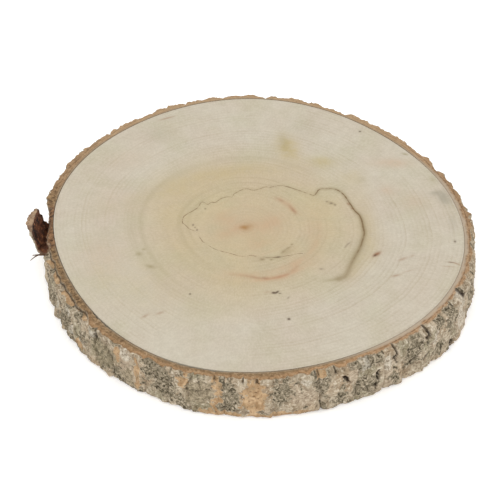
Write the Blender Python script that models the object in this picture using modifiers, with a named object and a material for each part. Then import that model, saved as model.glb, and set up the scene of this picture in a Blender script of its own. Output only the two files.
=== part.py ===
"""A round slice sawn across a tree trunk, with its bark on and one flake of bark torn half off.

The slice grew as one piece, so it is one solid. It lies on its underside at z = 0, centred on
the Z axis, and its sawn upper face is at z = THICKNESS. A direction round the rim is called a
turn: degrees from +X, counter-clockwise seen from above. Lengths are in metres.
"""

import math

import bmesh
import bpy
from mathutils import Vector, noise

MM = 0.001

# The trunk. Each lobe of the wood's outline is: how many go round, height, turn of one crest
THICKNESS = 28.0 * MM
WOOD_RADIUS = 118.5 * MM
WOOD_LOBES = (
    (2, 2.5 * MM, -57.8),
    (3, 1.3 * MM, -5.1),
    (4, 1.4 * MM, -13.1),
    (5, 0.45 * MM, 24.4),
)

# The bark's plates, once round the rim. Each is: the turn of the fissure before the plate, the
# bark's thickness in that fissure, where the plate starts and where it ends, in mm
PLATES = (
    (-174, 6.0, 7.0, 7.2),
    (-166, 6.2, 7.2, 7.6),
    (-156, 6.4, 7.4, 7.6),
    (-148, 6.0, 7.4, 8.0),
    (-134, 5.4, 7.0, 7.2),
    (-129, 5.2, 6.8, 6.9),
    (-119, 5.2, 6.0, 6.1),
    (-112, 5.0, 6.2, 6.6),
    (-106, 4.8, 6.8, 6.5),
    (-98, 5.6, 6.6, 7.9),
    (-86, 6.3, 7.2, 8.2),
    (-74, 6.0, 8.3, 8.2),
    (-65, 6.8, 8.0, 8.6),
    (-57, 7.0, 8.2, 8.4),
    (-51, 6.4, 8.3, 8.6),
    (-43, 6.8, 8.2, 8.4),
    (-32, 6.6, 8.0, 7.7),
    (-21, 5.4, 7.2, 7.1),
    (-14, 6.0, 6.9, 5.2),
    (-7, 4.5, 5.4, 7.6),
    (0.5, 6.4, 6.8, 7.1),
    (8, 4.6, 5.6, 6.9),
    (15.5, 4.3, 5.2, 6.9),
    (24.5, 3.2, 3.8, 6.4),
    (30.5, 5.8, 6.1, 5.2),
    (36, 4.4, 5.1, 5.9),
    (41, 4.4, 5.2, 6.4),
    (45.5, 5.8, 6.0, 4.8),
    (50, 4.5, 5.0, 6.5),
    (61.5, 2.7, 3.0, 4.9),
    (74, 2.9, 3.1, 5.0),
    (78.5, 4.6, 4.8, 4.2),
    (87, 2.4, 2.9, 5.2),
    (92.5, 4.5, 4.7, 4.0),
    (101, 3.0, 4.1, 3.4),
    (107.5, 3.2, 4.0, 4.2),
    (110.8, 2.4, 6.7, 4.7),
    (121.5, 3.5, 3.8, 6.1),
    (129, 5.7, 5.9, 5.5),
    (137, 3.2, 5.3, 5.8),
    (146.5, 4.5, 6.1, 6.9),
    (155.5, 5.0, 6.1, 6.0),
    (161, 4.9, 6.1, 6.4),
    (167, 5.7, 6.0, 5.2),
    (173.5, 3.4, 5.0, 6.9),
)
FLANK = 3.4 * MM  # height that a fissure's side climbs to
FLANK_RUN = 1.5 * MM  # distance in which it climbs two thirds of that
HEALED = 0.85  # how far the hidden stretches of a fissure have grown shut, at most
HEALED_SIZE = 13.0 * MM
FLARES = (  # where the wall stands further out at its foot: turn, degrees to each side, distance
    (-152.0, 24.0, 1.9 * MM),
    (-116.0, 9.0, -1.1 * MM),
    (-34.0, 18.0, 2.3 * MM),
    (-15.0, 7.0, 1.0 * MM),
)
SWAY = 2.2  # degrees that a fissure wanders between the two sawn faces
KNOBBLE = 0.55 * MM  # height of the lumps on the plates
KNOBBLE_SIZE = 6.0 * MM
THINNEST_BARK = 2.2 * MM

# The sawn edge of the bark
GROOVE_WIDTH = 1.2 * MM  # the parting line between wood and bark
GROOVE_DEPTH = 0.9 * MM
RIM_CHIP = 0.8 * MM  # how far the outer corner is crumbled away
SHELF = (-170.0, -139.0)  # turns between which the outer bark has split off lower down
SHELF_DROP = 2.6 * MM
SHELF_SHARE = 0.48  # share of the bark's thickness that the shelf takes

# The flake of bark that has peeled away from the trunk, joined low down on the wall
FLAKE_TURN = 178.6
FLAKE_FOOT_HALF = 6.0  # degrees to each side, at its foot and at its sawn top
FLAKE_TOP_HALF = 4.3
FLAKE_FOOT_HEIGHT = 9.5 * MM
FLAKE_FOOT_LIFT = 4.0 * MM  # how much higher its foot is at the near end
FLAKE_FOOT_OUT = 3.4 * MM  # from the wood's edge to the middle of the flake
FLAKE_TOP_OUT = 13.9 * MM
FLAKE_THICKNESS = 3.6 * MM
FLAKE_THINNED = 0.3  # share of that thickness left at its torn ends
FLAKE_HOLLOW = 1.8 * MM  # how far its ends curl back towards the trunk
FLAKE_FURTHEST = 0.3  # where along it the flake stands furthest out: -1 is one end, 1 the other
FLAKE_BENDS = (0.95, 0.22)  # power of its bend at each end: below 1 it bulges out low down
PEEL = (172.5, 190.5)  # turns between which the flake has left the bark thin
PEEL_DEPTH = 2.9 * MM
PEEL_HEIGHT = 10.0 * MM

# The mesh
COLUMNS = 352
WALL_ROWS = 9

BARK_COLOUR = (0.235, 0.175, 0.115, 1.0)
BARK_ROUGHNESS = 0.9


def smooth(low, high, value):
    """0 below low, 1 above high, and a soft step between them."""
    share = min(max((value - low) / (high - low), 0.0), 1.0)
    return share * share * (3.0 - 2.0 * share)


def between(first, last, turn, soft):
    """1 from turn first to turn last and 0 elsewhere, with soft degrees of change at each end."""
    middle = 0.5 * (first + last)
    half = 0.5 * (last - first)
    away = abs((turn - middle + 180.0) % 360.0 - 180.0)
    return 1.0 - smooth(half - 0.5 * soft, half + 0.5 * soft, away)


def wood_edge(turn):
    """Radius of the wood at a turn."""
    radius = WOOD_RADIUS
    for count, height, crest in WOOD_LOBES:
        radius += height * math.cos(math.radians(count * (turn - crest)))
    return radius


def hidden(turn, height):
    """0 where the photograph's side of the rim shows in outline, 1 at the far end of the wall."""
    level = height / THICKNESS
    back = 0.5 + 0.5 * math.sin(math.radians(turn))
    return back * (1.0 - level) + (1.0 - back) * level


def swayed(turn, height):
    """The turn at which a fissure passing through this point meets the outlined edge."""
    level = height / THICKNESS
    spot = Vector((math.cos(math.radians(turn)), math.sin(math.radians(turn)), 0.4 * level)) * 5.0
    return turn + SWAY * hidden(turn, height) * 2.0 * noise.noise(spot)


def flank(distance):
    """Height of a fissure's side at a distance from its bottom."""
    return FLANK * (1.0 - math.exp(-distance / FLANK_RUN))


def flare(turn, height):
    """How much further out the wall stands at this height than at the upper edge."""
    leaning = 0.0
    for middle, reach, distance in FLARES:
        away = min(abs((turn - middle + 180.0) % 360.0 - 180.0) / reach, 1.0)
        leaning += distance * (0.5 + 0.5 * math.cos(math.pi * away))
    return leaning * (1.0 - height / THICKNESS)


def on_the_wall(turn, height):
    """The point on the wood's outline at a turn and height, where the noises are read."""
    radius = wood_edge(turn)
    return Vector((radius * math.cos(math.radians(turn)), radius * math.sin(math.radians(turn)), height))


def plate_thickness(turn, height):
    """Thickness of the bark from its plates and fissures alone."""
    around = (swayed(turn, height) - PLATES[0][0]) % 360.0 + PLATES[0][0]
    index = max(i for i, plate in enumerate(PLATES) if plate[0] <= around)
    start, floor, first, last = PLATES[index]
    following = PLATES[(index + 1) % len(PLATES)]
    end = following[0] if following[0] > start else following[0] + 360.0
    share = (around - start) / (end - start)
    width = math.radians(end - start) * WOOD_RADIUS
    near_side = floor * MM + flank(share * width)
    far_side = following[1] * MM + flank((1.0 - share) * width)
    top = (first + (last - first) * share) * MM
    lowest = min(near_side, far_side, top)
    grown = 0.5 + 1.6 * noise.noise(on_the_wall(turn, height) / HEALED_SIZE)
    healed = HEALED * hidden(turn, height) * smooth(0.2, 0.8, grown)
    return lowest + (top - lowest) * healed + flare(turn, height)


def bark_thickness(turn, height):
    """Thickness of the bark outside the wood, at a turn and a height above the underside."""
    lumps = KNOBBLE * 2.0 * noise.noise(on_the_wall(turn, height) / KNOBBLE_SIZE)
    peeled = PEEL_DEPTH * between(*PEEL, turn, 3.0) * smooth(PEEL_HEIGHT, PEEL_HEIGHT + 5.0 * MM, height)
    return max(plate_thickness(turn, height) + lumps - peeled, THINNEST_BARK)


def rim_drop(turn):
    """How far the bark's outer corner lies below the upper sawn face."""
    spot = Vector((math.cos(math.radians(turn)), math.sin(math.radians(turn)), 0.0)) * 16.0
    crumbled = RIM_CHIP * (0.75 + 0.9 * noise.noise(spot))
    return max(crumbled, 0.25 * MM) + SHELF_DROP * between(*SHELF, turn, 4.0)


def profile_points():
    """The unshaped cross-section, from the centre of the upper face over the rim to the underside."""
    points = [
        ("centre", 0.0, THICKNESS),
        ("wood", WOOD_RADIUS, THICKNESS),
        ("groove", WOOD_RADIUS + 0.5 * GROOVE_WIDTH, THICKNESS - GROOVE_DEPTH),
        ("bark", WOOD_RADIUS + GROOVE_WIDTH, THICKNESS),
        ("sawn edge", WOOD_RADIUS + 4.0 * MM, THICKNESS),
    ]
    highest = THICKNESS - RIM_CHIP
    for row in range(WALL_ROWS):
        level = highest + (RIM_CHIP - highest) * row / (WALL_ROWS - 1)
        points.append(("wall", WOOD_RADIUS + 6.0 * MM, level))
    points.append(("under edge", WOOD_RADIUS + 4.0 * MM, 0.0))
    points.append(("centre", 0.0, 0.0))
    return points


def shaped_point(kind, level, turn):
    """Where a point of the cross-section lies at a turn: its radius and its height."""
    edge = wood_edge(turn)
    if kind == "centre":
        return 0.0, level
    if kind == "wood":
        return edge, level
    if kind == "groove":
        return edge + 0.5 * GROOVE_WIDTH, level
    if kind == "bark":
        return edge + GROOVE_WIDTH, level
    if kind == "under edge":
        return edge + bark_thickness(turn, RIM_CHIP) - RIM_CHIP, level
    highest = THICKNESS - rim_drop(turn)
    if kind == "sawn edge":
        shelf = 1.0 - SHELF_SHARE * between(*SHELF, turn, 4.0)
        sawn = shelf * (bark_thickness(turn, highest) - 0.5 * RIM_CHIP)
        return edge + max(sawn, GROOVE_WIDTH + 0.5 * MM), level
    share = (level - RIM_CHIP) / (THICKNESS - 2.0 * RIM_CHIP)
    height = RIM_CHIP + share * (highest - RIM_CHIP)
    return edge + bark_thickness(turn, height), height


def turned_disc(collection):
    """The plain disc: the cross-section turned once round the Z axis."""
    points = profile_points()
    mesh = bpy.data.meshes.new("slice_section")
    mesh.from_pydata(
        [(radius, 0.0, level) for _, radius, level in points],
        [(i, i + 1) for i in range(len(points) - 1)],
        [],
    )
    section = bpy.data.objects.new("slice_section", mesh)
    collection.objects.link(section)
    screw = section.modifiers.new("turn", "SCREW")
    screw.axis = "Z"
    screw.angle = math.tau
    screw.steps = COLUMNS
    screw.render_steps = COLUMNS
    screw.use_merge_vertices = True
    screw.merge_threshold = 0.00001
    turned = bpy.data.meshes.new_from_object(section.evaluated_get(bpy.context.evaluated_depsgraph_get()))
    bpy.data.objects.remove(section, do_unlink=True)
    return turned


def shape_bark(mesh):
    """Move every point of the plain disc to the outline, plates, fissures and broken rim."""
    points = profile_points()
    form = bmesh.new()
    form.from_mesh(mesh)
    for vertex in form.verts:
        radius = math.hypot(vertex.co.x, vertex.co.y)
        turn = math.degrees(math.atan2(vertex.co.y, vertex.co.x))
        kind, _, level = min(points, key=lambda p: abs(p[1] - radius) + abs(p[2] - vertex.co.z))
        reach, height = shaped_point(kind, level, turn)
        vertex.co = (reach * math.cos(math.radians(turn)), reach * math.sin(math.radians(turn)), height)
    bmesh.ops.triangulate(form, faces=form.faces)
    form.to_mesh(mesh)
    form.free()


def flake_point(side, rise):
    """Middle of the flake's thickness: side from -1 to 1 round the rim, rise from foot to top."""
    half = FLAKE_FOOT_HALF + (FLAKE_TOP_HALF - FLAKE_FOOT_HALF) * rise
    turn = FLAKE_TURN + side * half * (1.0 + 0.06 * math.sin(9.0 * rise))
    furthest = FLAKE_TOP_OUT - FLAKE_HOLLOW * (side - FLAKE_FURTHEST) ** 2
    bend = FLAKE_BENDS[0] + (FLAKE_BENDS[1] - FLAKE_BENDS[0]) * (0.5 + 0.5 * side)
    out = FLAKE_FOOT_OUT + (furthest - FLAKE_FOOT_OUT) * rise ** bend
    radius = wood_edge(turn) + out
    foot = FLAKE_FOOT_HEIGHT + FLAKE_FOOT_LIFT * (0.5 + 0.5 * side) ** 2
    height = foot + (THICKNESS + MM - foot) * rise
    return radius * math.cos(math.radians(turn)), radius * math.sin(math.radians(turn)), height


def bark_flake(collection):
    """The peeled flake: a bent plate, thin at its torn ends, with its foot sunk in the bark.

    It runs a little above the upper face and is then levelled to it, as the saw left it.
    """
    form = bmesh.new()
    bmesh.ops.create_grid(form, x_segments=12, y_segments=9, size=1.0)
    sides = [vertex.co.x for vertex in form.verts]
    for vertex in form.verts:
        vertex.co = flake_point(vertex.co.x, 0.5 + 0.5 * vertex.co.y)
    mesh = bpy.data.meshes.new("bark_flake_skin")
    form.to_mesh(mesh)
    form.free()
    skin = bpy.data.objects.new("bark_flake_skin", mesh)
    collection.objects.link(skin)
    full = skin.vertex_groups.new(name="full thickness")
    for index, side in enumerate(sides):
        full.add([index], 1.0 - side * side, "REPLACE")
    wall = skin.modifiers.new("bark thickness", "SOLIDIFY")
    wall.thickness = FLAKE_THICKNESS
    wall.offset = 0.0
    wall.vertex_group = full.name
    wall.thickness_vertex_group = FLAKE_THINNED
    solid = bpy.data.meshes.new_from_object(skin.evaluated_get(bpy.context.evaluated_depsgraph_get()))
    bpy.data.objects.remove(skin, do_unlink=True)
    for vertex in solid.vertices:
        vertex.co.z = min(vertex.co.z, THICKNESS)
    flake = bpy.data.objects.new("bark_flake", solid)
    collection.objects.link(flake)
    flake.hide_render = True
    flake.display_type = "WIRE"
    return flake


def bark_material():
    """Dry grey-brown bark over pale wood, matt all over."""
    material = bpy.data.materials.new("dry bark and sawn wood")
    material.use_nodes = True
    shader = material.node_tree.nodes["Principled BSDF"]
    shader.inputs["Base Color"].default_value = BARK_COLOUR
    shader.inputs["Roughness"].default_value = BARK_ROUGHNESS
    shader.inputs["Metallic"].default_value = 0.0
    return material


def new_collection(name):
    collection = bpy.data.collections.new(name)
    bpy.context.scene.collection.children.link(collection)
    return collection


def build_slice():
    parts = new_collection("wood_slice_parts")
    guides = new_collection("guides")
    mesh = turned_disc(guides)
    shape_bark(mesh)
    wood_slice = bpy.data.objects.new("wood_slice", mesh)
    parts.objects.link(wood_slice)
    mesh.materials.clear()
    mesh.materials.append(bark_material())
    flake = bark_flake(guides)
    joint = wood_slice.modifiers.new("flake grown on", "BOOLEAN")
    joint.operation = "UNION"
    joint.solver = "EXACT"
    joint.object = flake
    mesh.shade_smooth()
    mesh.set_sharp_from_angle(angle=math.radians(50.0))
    return wood_slice


for old in list(bpy.data.objects):
    bpy.data.objects.remove(old, do_unlink=True)

build_slice()
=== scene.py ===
"""The looks of a round slice of tree trunk: pale sawn end grain inside rough, lichened bark.

Lengths are in metres, and in mm in the tables whose comment says so. A turn is a direction round the
rim, in degrees from +X and counter-clockwise seen from above.
"""

import math

import bmesh
import bpy
import numpy as np
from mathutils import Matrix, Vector, noise


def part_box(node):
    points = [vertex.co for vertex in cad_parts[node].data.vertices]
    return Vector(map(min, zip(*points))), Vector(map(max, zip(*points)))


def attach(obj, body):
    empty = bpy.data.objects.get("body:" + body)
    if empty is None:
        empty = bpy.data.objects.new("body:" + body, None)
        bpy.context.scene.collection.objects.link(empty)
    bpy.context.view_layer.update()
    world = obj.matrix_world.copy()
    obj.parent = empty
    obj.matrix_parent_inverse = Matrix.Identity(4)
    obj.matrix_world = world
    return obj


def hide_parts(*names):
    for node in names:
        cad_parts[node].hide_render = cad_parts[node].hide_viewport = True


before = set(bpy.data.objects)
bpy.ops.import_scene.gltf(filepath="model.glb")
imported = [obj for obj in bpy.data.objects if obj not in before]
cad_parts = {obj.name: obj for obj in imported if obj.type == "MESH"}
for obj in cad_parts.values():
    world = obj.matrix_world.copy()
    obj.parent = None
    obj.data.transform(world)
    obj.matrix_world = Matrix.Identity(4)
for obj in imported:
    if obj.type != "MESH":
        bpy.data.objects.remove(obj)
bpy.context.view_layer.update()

bl_info = {
    "name": "Wood slice",
    "version": (1, 0, 0),
    "blender": (4, 5, 0),
    "location": "3D View > Sidebar > Wood slice",
    "description": "Builds the visible wood, bark, flake and fibres of a sawn slice of trunk",
    "category": "Add Mesh",
}

NODE = "wood_slice"
MM = 0.001

# The trunk, as in the solid. Each lobe is: how many go round, height, turn of one crest
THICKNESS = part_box(NODE)[1].z
WOOD_RADIUS = 118.5 * MM
WOOD_LOBES = (
    (2, 2.5 * MM, -57.8),
    (3, 1.3 * MM, -5.1),
    (4, 1.4 * MM, -13.1),
    (5, 0.45 * MM, 24.4),
)
PITH = (-6.1 * MM, -3.5 * MM)
RING_COUNT = 50

# The bark's plates, once round the rim. Each is: the turn of the fissure before the plate, the
# bark's thickness in that fissure, where the plate starts and where it ends, in mm
PLATES = (
    (-174, 6.0, 7.0, 7.2),
    (-166, 6.2, 7.2, 7.6),
    (-156, 6.4, 7.4, 7.6),
    (-148, 6.0, 7.4, 8.0),
    (-134, 5.4, 7.0, 7.2),
    (-129, 5.2, 6.8, 6.9),
    (-119, 5.2, 6.0, 6.1),
    (-112, 5.0, 6.2, 6.6),
    (-106, 4.8, 6.8, 6.5),
    (-98, 5.6, 6.6, 7.9),
    (-86, 6.3, 7.2, 8.2),
    (-74, 6.0, 8.3, 8.2),
    (-65, 6.8, 8.0, 8.6),
    (-57, 7.0, 8.2, 8.4),
    (-51, 6.4, 8.3, 8.6),
    (-43, 6.8, 8.2, 8.4),
    (-32, 6.6, 8.0, 7.7),
    (-21, 5.4, 7.2, 7.1),
    (-14, 6.0, 6.9, 5.2),
    (-7, 4.5, 5.4, 7.6),
    (0.5, 6.4, 6.8, 7.1),
    (8, 4.6, 5.6, 6.9),
    (15.5, 4.3, 5.2, 6.9),
    (24.5, 3.2, 3.8, 6.4),
    (30.5, 5.8, 6.1, 5.2),
    (36, 4.4, 5.1, 5.9),
    (41, 4.4, 5.2, 6.4),
    (45.5, 5.8, 6.0, 4.8),
    (50, 4.5, 5.0, 6.5),
    (61.5, 2.7, 3.0, 4.9),
    (74, 2.9, 3.1, 5.0),
    (78.5, 4.6, 4.8, 4.2),
    (87, 2.4, 2.9, 5.2),
    (92.5, 4.5, 4.7, 4.0),
    (101, 3.0, 4.1, 3.4),
    (107.5, 3.2, 4.0, 4.2),
    (110.8, 2.4, 6.7, 4.7),
    (121.5, 3.5, 3.8, 6.1),
    (129, 5.7, 5.9, 5.5),
    (137, 3.2, 5.3, 5.8),
    (146.5, 4.5, 6.1, 6.9),
    (155.5, 5.0, 6.1, 6.0),
    (161, 4.9, 6.1, 6.4),
    (167, 5.7, 6.0, 5.2),
    (173.5, 3.4, 5.0, 6.9),
)
FLANK = 3.4 * MM  # height that a fissure's side climbs to
FLANK_RUN = 1.5 * MM  # distance in which it climbs two thirds of that
HEALED = 0.85  # how far the hidden stretches of a fissure have grown shut, at most
HEALED_SIZE = 13.0 * MM
FLARES = (  # where the wall stands further out at its foot: turn, degrees to each side, distance
    (-152.0, 24.0, 1.9 * MM),
    (-116.0, 9.0, -1.1 * MM),
    (-34.0, 18.0, 2.3 * MM),
    (-15.0, 7.0, 1.0 * MM),
)
SWAY = 2.2  # degrees that a fissure wanders between the two sawn faces
KNOBBLE = 0.55 * MM
KNOBBLE_SIZE = 6.0 * MM
THINNEST_BARK = 2.2 * MM
RIM_CHIP = 0.8 * MM
SHELF = (-170.0, -139.0)  # first and last turn of the sunken ledge
SHELF_DROP = 2.6 * MM
SHELF_SHARE = 0.48
PEEL = (172.5, 190.5)  # first and last turn of the scar that the flake has left
PEEL_DEPTH = 2.9 * MM
PEEL_HEIGHT = 10.0 * MM

# The flake of bark that has peeled away from the trunk, joined low down on the wall
FLAKE_TURN = 178.6
FLAKE_FOOT_HALF = 6.0  # degrees to each side, at its foot and at its sawn top
FLAKE_TOP_HALF = 4.3
FLAKE_FOOT_HEIGHT = 9.5 * MM
FLAKE_FOOT_LIFT = 4.0 * MM  # how much higher its foot is at the near end
FLAKE_FOOT_OUT = 3.4 * MM  # from the wood's edge to the middle of the flake
FLAKE_TOP_OUT = 13.9 * MM
FLAKE_THICKNESS = 3.6 * MM
FLAKE_THINNED = 0.3  # share of that thickness left at its torn ends
FLAKE_HOLLOW = 1.8 * MM  # how far its ends curl back towards the trunk
CRUST_ROUGHER = 1.8  # how much rougher its crusted side is
SKIN_DEPTH = 1.2 * MM  # half thickness below which its roughness fades out
FLAKE_FURTHEST = 0.3  # where along it the flake stands furthest out: -1 is one end, 1 the other
FLAKE_BENDS = (0.95, 0.22)  # power of its bend at each end: below 1 it bulges out low down
FLAKE_SKIN = ((0.6 * MM, 2.8 * MM), (0.35 * MM, 1.1 * MM))  # its roughness: height and size of the lumps

# The torn fibres of bast below the flake, point by point in mm
FIBRE_ROUTES = (
    ((-120.5, -14.5, 17.0), (-124.0, -15.5, 18.2), (-127.0, -17.5, 18.4), (-129.6, -20.5, 17.6)),
    ((-120.5, -14.0, 16.6), (-123.6, -15.9, 17.8), (-126.2, -17.0, 19.0), (-128.4, -18.0, 19.4)),
    ((-120.5, -15.5, 16.0), (-123.2, -14.2, 17.6), (-125.0, -12.4, 18.8)),
)
FIBRE_RADIUS = 0.5 * MM
FIBRE_TAPER = (1.3, 0.4)  # share of that radius at the root and at the tip

# Crust and cracks finer than the solid's
RIDGE = 1.3 * MM
RIDGE_SIZE = 4.6 * MM
LUMP = 0.65 * MM
LUMP_SIZE = 2.8 * MM
STRAND = 0.55 * MM
STRAND_SIZE = 1.7 * MM
GRIT = 0.3 * MM
GRIT_SIZE = 1.1 * MM
PATCH_EDGE = ((0.6, 3.2 * MM), (0.36, 1.3 * MM))  # how ragged the crust's patches end: share, size
SAWN_EDGE = ((0.30, 3.5 * MM), (0.16, 1.3 * MM))  # how ragged the flat sawn edge ends
CORNER_DROP = 2.6 * MM  # how much lower the corner lies where nothing of the edge is flat
LEAST_DROP = 0.25 * MM
FLAT_LIMITS = (0.2, 0.95)  # least and most of the bark's thickness that is flat
BARE_SMOOTHER = 0.75  # how much smoother bare bark is, and plain crust
PLAIN_SMOOTHER = 0.6
BARE_SUNK = 0.35 * MM  # how much lower bare bark lies, and crust in curled strands
CURL_SUNK = 0.25 * MM
PEEL_LUMPS = ((0.6 * MM, 1.5 * MM),)  # roughness of the scar: height and size of its lumps
PEEL_FADE = 5.0 * MM  # height over which the scar begins
FOOT_ROUGHER = 0.15  # how much rougher the wall is at its foot
FOOT_HEIGHT = 9.0 * MM
PARTING = 0.07 * MM  # the usual gap between wood and bark
NARROWEST_PARTING = 0.05 * MM
PARTING_GAPS = (  # where it has opened: first and last turn, extra width
    (-141.0, -131.0, 1.1 * MM),
    (-114.0, -97.0, 1.0 * MM),
    (165.0, 215.0, 0.25 * MM),
    (-95.0, -84.0, 0.2 * MM),
)
SAWN_SHARES = (  # how much of the bark the saw left flat: turn, share of its thickness
    (-180, 0.85), (-171, 0.95), (-139, 0.95), (-130, 0.80), (-120, 0.76), (-100, 0.74), (-88, 0.70),
    (-75, 0.62), (-60, 0.54), (-45, 0.50), (-30, 0.50), (-15, 0.62), (0, 0.78), (15, 0.88), (180, 0.92),
)
WEDGES = (  # where the crust bites into the sawn edge: turn, half width in degrees, share of the edge
    (-119.6, 0.8, 0.25), (-97.8, 1.2, 0.30), (-75.7, 0.9, 0.40), (-71.2, 1.1, 0.45), (-62.5, 2.8, 0.40),
    (-53.6, 1.0, 0.40), (-43.1, 1.3, 0.50), (-34.7, 2.4, 0.40), (-26.6, 1.6, 0.45),
)
SLOT_WOBBLE = ((1.5, 1.7 * MM),)  # how far in mm the openings wander, over what distance
SLOT_REACH = 6.0  # degrees from an opening's first end within which it can lie
OPENING_DEPTH = 1.4 * MM  # depth at which an opening gets its full painted shade
FISSURE_DEPTH = 4.0 * MM  # depth at which a fissure would get its full painted shade
FISSURE_SHADE_MOST = 0.35  # how much shade is painted into a fissure at most
HOLLOW_SHADE_STRENGTH = 0.6  # how much shade is painted into the crust's own hollows
SLOTS = (  # openings in the crust, painted with shade by depth: turn and height at each end, width, depth, in mm
    (-59.1, 18.2, -58.9, 10.8, 1.1, 3.2), (-59.6, 8.4, -59.9, 4.0, 1.0, 2.8),
    (-68.5, 22.4, -67.2, 17.6, 1.2, 3.0), (-53.5, 27.4, -54.3, 21.0, 1.1, 3.0),
    (-42.6, 28.0, -43.6, 21.5, 1.2, 3.2), (-45.0, 8.6, -42.4, 10.6, 1.2, 2.2),
    (-43.6, 21.5, -43.0, 16.5, 0.8, 2.2), (-54.3, 21.0, -53.4, 17.5, 0.7, 1.8),
    (-50.2, 23.5, -49.6, 20.0, 0.7, 1.6), (-64.6, 24.0, -64.0, 20.5, 0.7, 1.8),
    (-36.0, 0.2, -33.2, 2.8, 2.0, 3.0), (-27.2, 27.5, -26.2, 24.0, 2.4, 2.6),
    (-76.0, 28.2, -75.3, 26.0, 1.2, 2.0), (-71.8, 28.2, -70.6, 26.0, 1.5, 2.2),
    (-47.2, 13.4, -49.4, 10.4, 1.5, 2.0), (-100.5, 28.4, -100.0, 26.9, 1.3, 2.0),
    (-93.9, 28.6, -93.6, 26.4, 1.5, 2.4), (-91.9, 27.6, -89.4, 26.4, 0.8, 1.6),
    (-91.6, 19.6, -89.6, 18.7, 0.6, 1.2), (-93.8, 16.6, -93.2, 15.0, 0.6, 1.2),
    (-93.2, 15.0, -92.7, 12.6, 0.6, 1.2), (-108.2, 15.7, -105.0, 16.2, 0.6, 1.3),
    (-105.0, 16.2, -101.0, 19.4, 0.6, 1.3), (-104.3, 28.0, -103.5, 19.5, 0.6, 1.4),
    (-100.4, 12.6, -98.9, 12.0, 0.5, 0.9), (-99.3, 6.0, -97.8, 6.4, 0.6, 1.2),
    (-95.2, 6.2, -92.5, 5.0, 0.6, 1.2), (-126.2, 15.3, -122.2, 17.7, 0.7, 1.2),
    (-146.5, 20.0, -144.2, 15.2, 0.9, 2.0), (-144.2, 15.2, -142.7, 9.6, 0.9, 2.0),
    (-142.7, 9.6, -139.3, 9.2, 0.8, 1.6), (-98.6, 26.8, -97.2, 25.0, 0.9, 1.4),
    (-73.6, 24.0, -74.0, 20.0, 0.8, 1.0), (-161.0, 15.0, -158.0, 9.0, 0.9, 1.6),
)
BARE_BARK = (  # where the grey crust is gone: turn, height, half width, half height, in mm
    (-99.8, 15.0, 5.0, 16.0), (-90.8, 14.0, 6.5, 16.0), (-87.0, 1.5, 22.0, 2.4), (-100.0, 1.5, 12.0, 2.4),
    (-107.8, 21.0, 3.5, 6.0), (-120.9, 14.0, 1.9, 13.0), (-142.5, 5.0, 4.0, 3.5), (-127.0, 21.0, 2.2, 5.0),
    (-74.0, 25.6, 3.0, 1.5),
)
CRUST_TONGUES = (  # crust that stays on within the bare places, in the same terms
    (-96.6, 17.0, 3.2, 12.0), (-103.5, 16.0, 7.4, 9.5), (-98.3, 7.5, 3.2, 2.6), (-92.8, 4.5, 2.0, 3.0),
)
CURLY = (  # where the crust stands in dark curled strands: the same terms and how strongly
    (-115.0, 21.0, 8.5, 8.0, 1.0), (-113.0, 11.5, 8.0, 6.0, 1.0), (-109.0, 6.0, 5.0, 4.5, 1.0),
    (-96.6, 17.0, 3.4, 12.0, 1.0), (-98.5, 7.5, 3.4, 2.6, 0.9), (-62.5, 26.5, 7.5, 4.5, 1.0),
    (-74.0, 22.0, 3.6, 8.0, 0.9), (-48.3, 19.5, 5.5, 9.0, 1.0), (-48.5, 10.5, 4.5, 3.0, 1.0),
    (-34.7, 22.0, 4.0, 6.0, 1.0), (-39.0, 8.5, 5.0, 4.0, 0.9), (-84.0, 19.0, 6.5, 9.0, 0.8),
    (-63.5, 11.0, 6.0, 7.0, 0.9), (-132.0, 15.0, 9.0, 10.0, 0.55), (-150.0, 12.0, 8.0, 10.0, 1.0),
    (-162.0, 12.0, 10.0, 9.0, 1.0), (-20.0, 14.0, 7.0, 12.0, 0.7), (-8.0, 14.0, 8.0, 12.0, 0.7),
)
SMOOTH_PLATES = (
    (-28.0, 13.0, 6.5, 15.0), (-56.3, 17.0, 3.4, 9.0), (-66.0, 21.0, 4.0, 5.5), (-40.6, 16.0, 3.2, 7.0),
    (-57.5, 4.5, 6.0, 4.0), (-77.5, 12.0, 5.0, 6.5), (-80.6, 15.5, 3.0, 7.0), (-124.7, 22.5, 5.5, 6.0),
    (-123.5, 10.0, 6.0, 8.0), (-103.5, 16.0, 7.5, 9.0), (-130.0, 21.0, 3.5, 5.0),
)
SILVERY = (  # where the crust is smooth and nearly white
    (-124.7, 24.0, 4.0, 3.0), (-172.0, 20.0, 2.6, 3.0), (-28.0, 15.0, 5.0, 13.0), (-63.0, 23.0, 3.0, 2.6),
    (-56.3, 20.0, 2.6, 5.0), (-40.6, 19.0, 2.2, 5.0), (-136.0, 23.5, 3.0, 2.6), (-77.8, 24.0, 3.0, 2.0),
    (-164.0, 17.0, 2.6, 3.0), (-156.0, 12.0, 3.0, 3.0), (-149.0, 19.0, 3.0, 3.0), (-146.0, 10.0, 2.4, 3.0),
)
MOSSY = ((-103.5, 16.0, 7.0, 9.0), (-123.5, 9.0, 5.0, 6.0), (-132.5, 14.0, 10.0, 9.0))
DARK_RIMS = (  # where the sawn rim is dark and speckled: first and last turn, how dark
    (164.0, 222.0, 1.0),
    (222.0, 240.0, 0.6),
    (240.0, 278.0, 0.4),
    (-20.0, 25.0, 0.3),
    (140.0, 164.0, 0.4),
)
TWO_TONE_RIM = (218.0, 300.0)  # where it is paler towards the crust, with painted shade at its outer edge
LILAC_RIM = -18.0  # the turn where its inner line is palest and widest

# What the bark's mesh keeps at each point, and what depends on the point's turn alone
# depth is how much shade is painted at a point: in fissures, openings, hollows and the gap at the wood
BARK_LOOKS = ("layer", "depth", "bare", "plain", "curly", "mossy", "silvery", "peel", "sawn", "outer")
RIM_LOOKS = ("dark_rim", "two_tone", "pale_rim", "lilac")
DEPTH, BARE, PEELED = 0, 1, 6  # numbers of these looks in what bark_point gives
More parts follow.
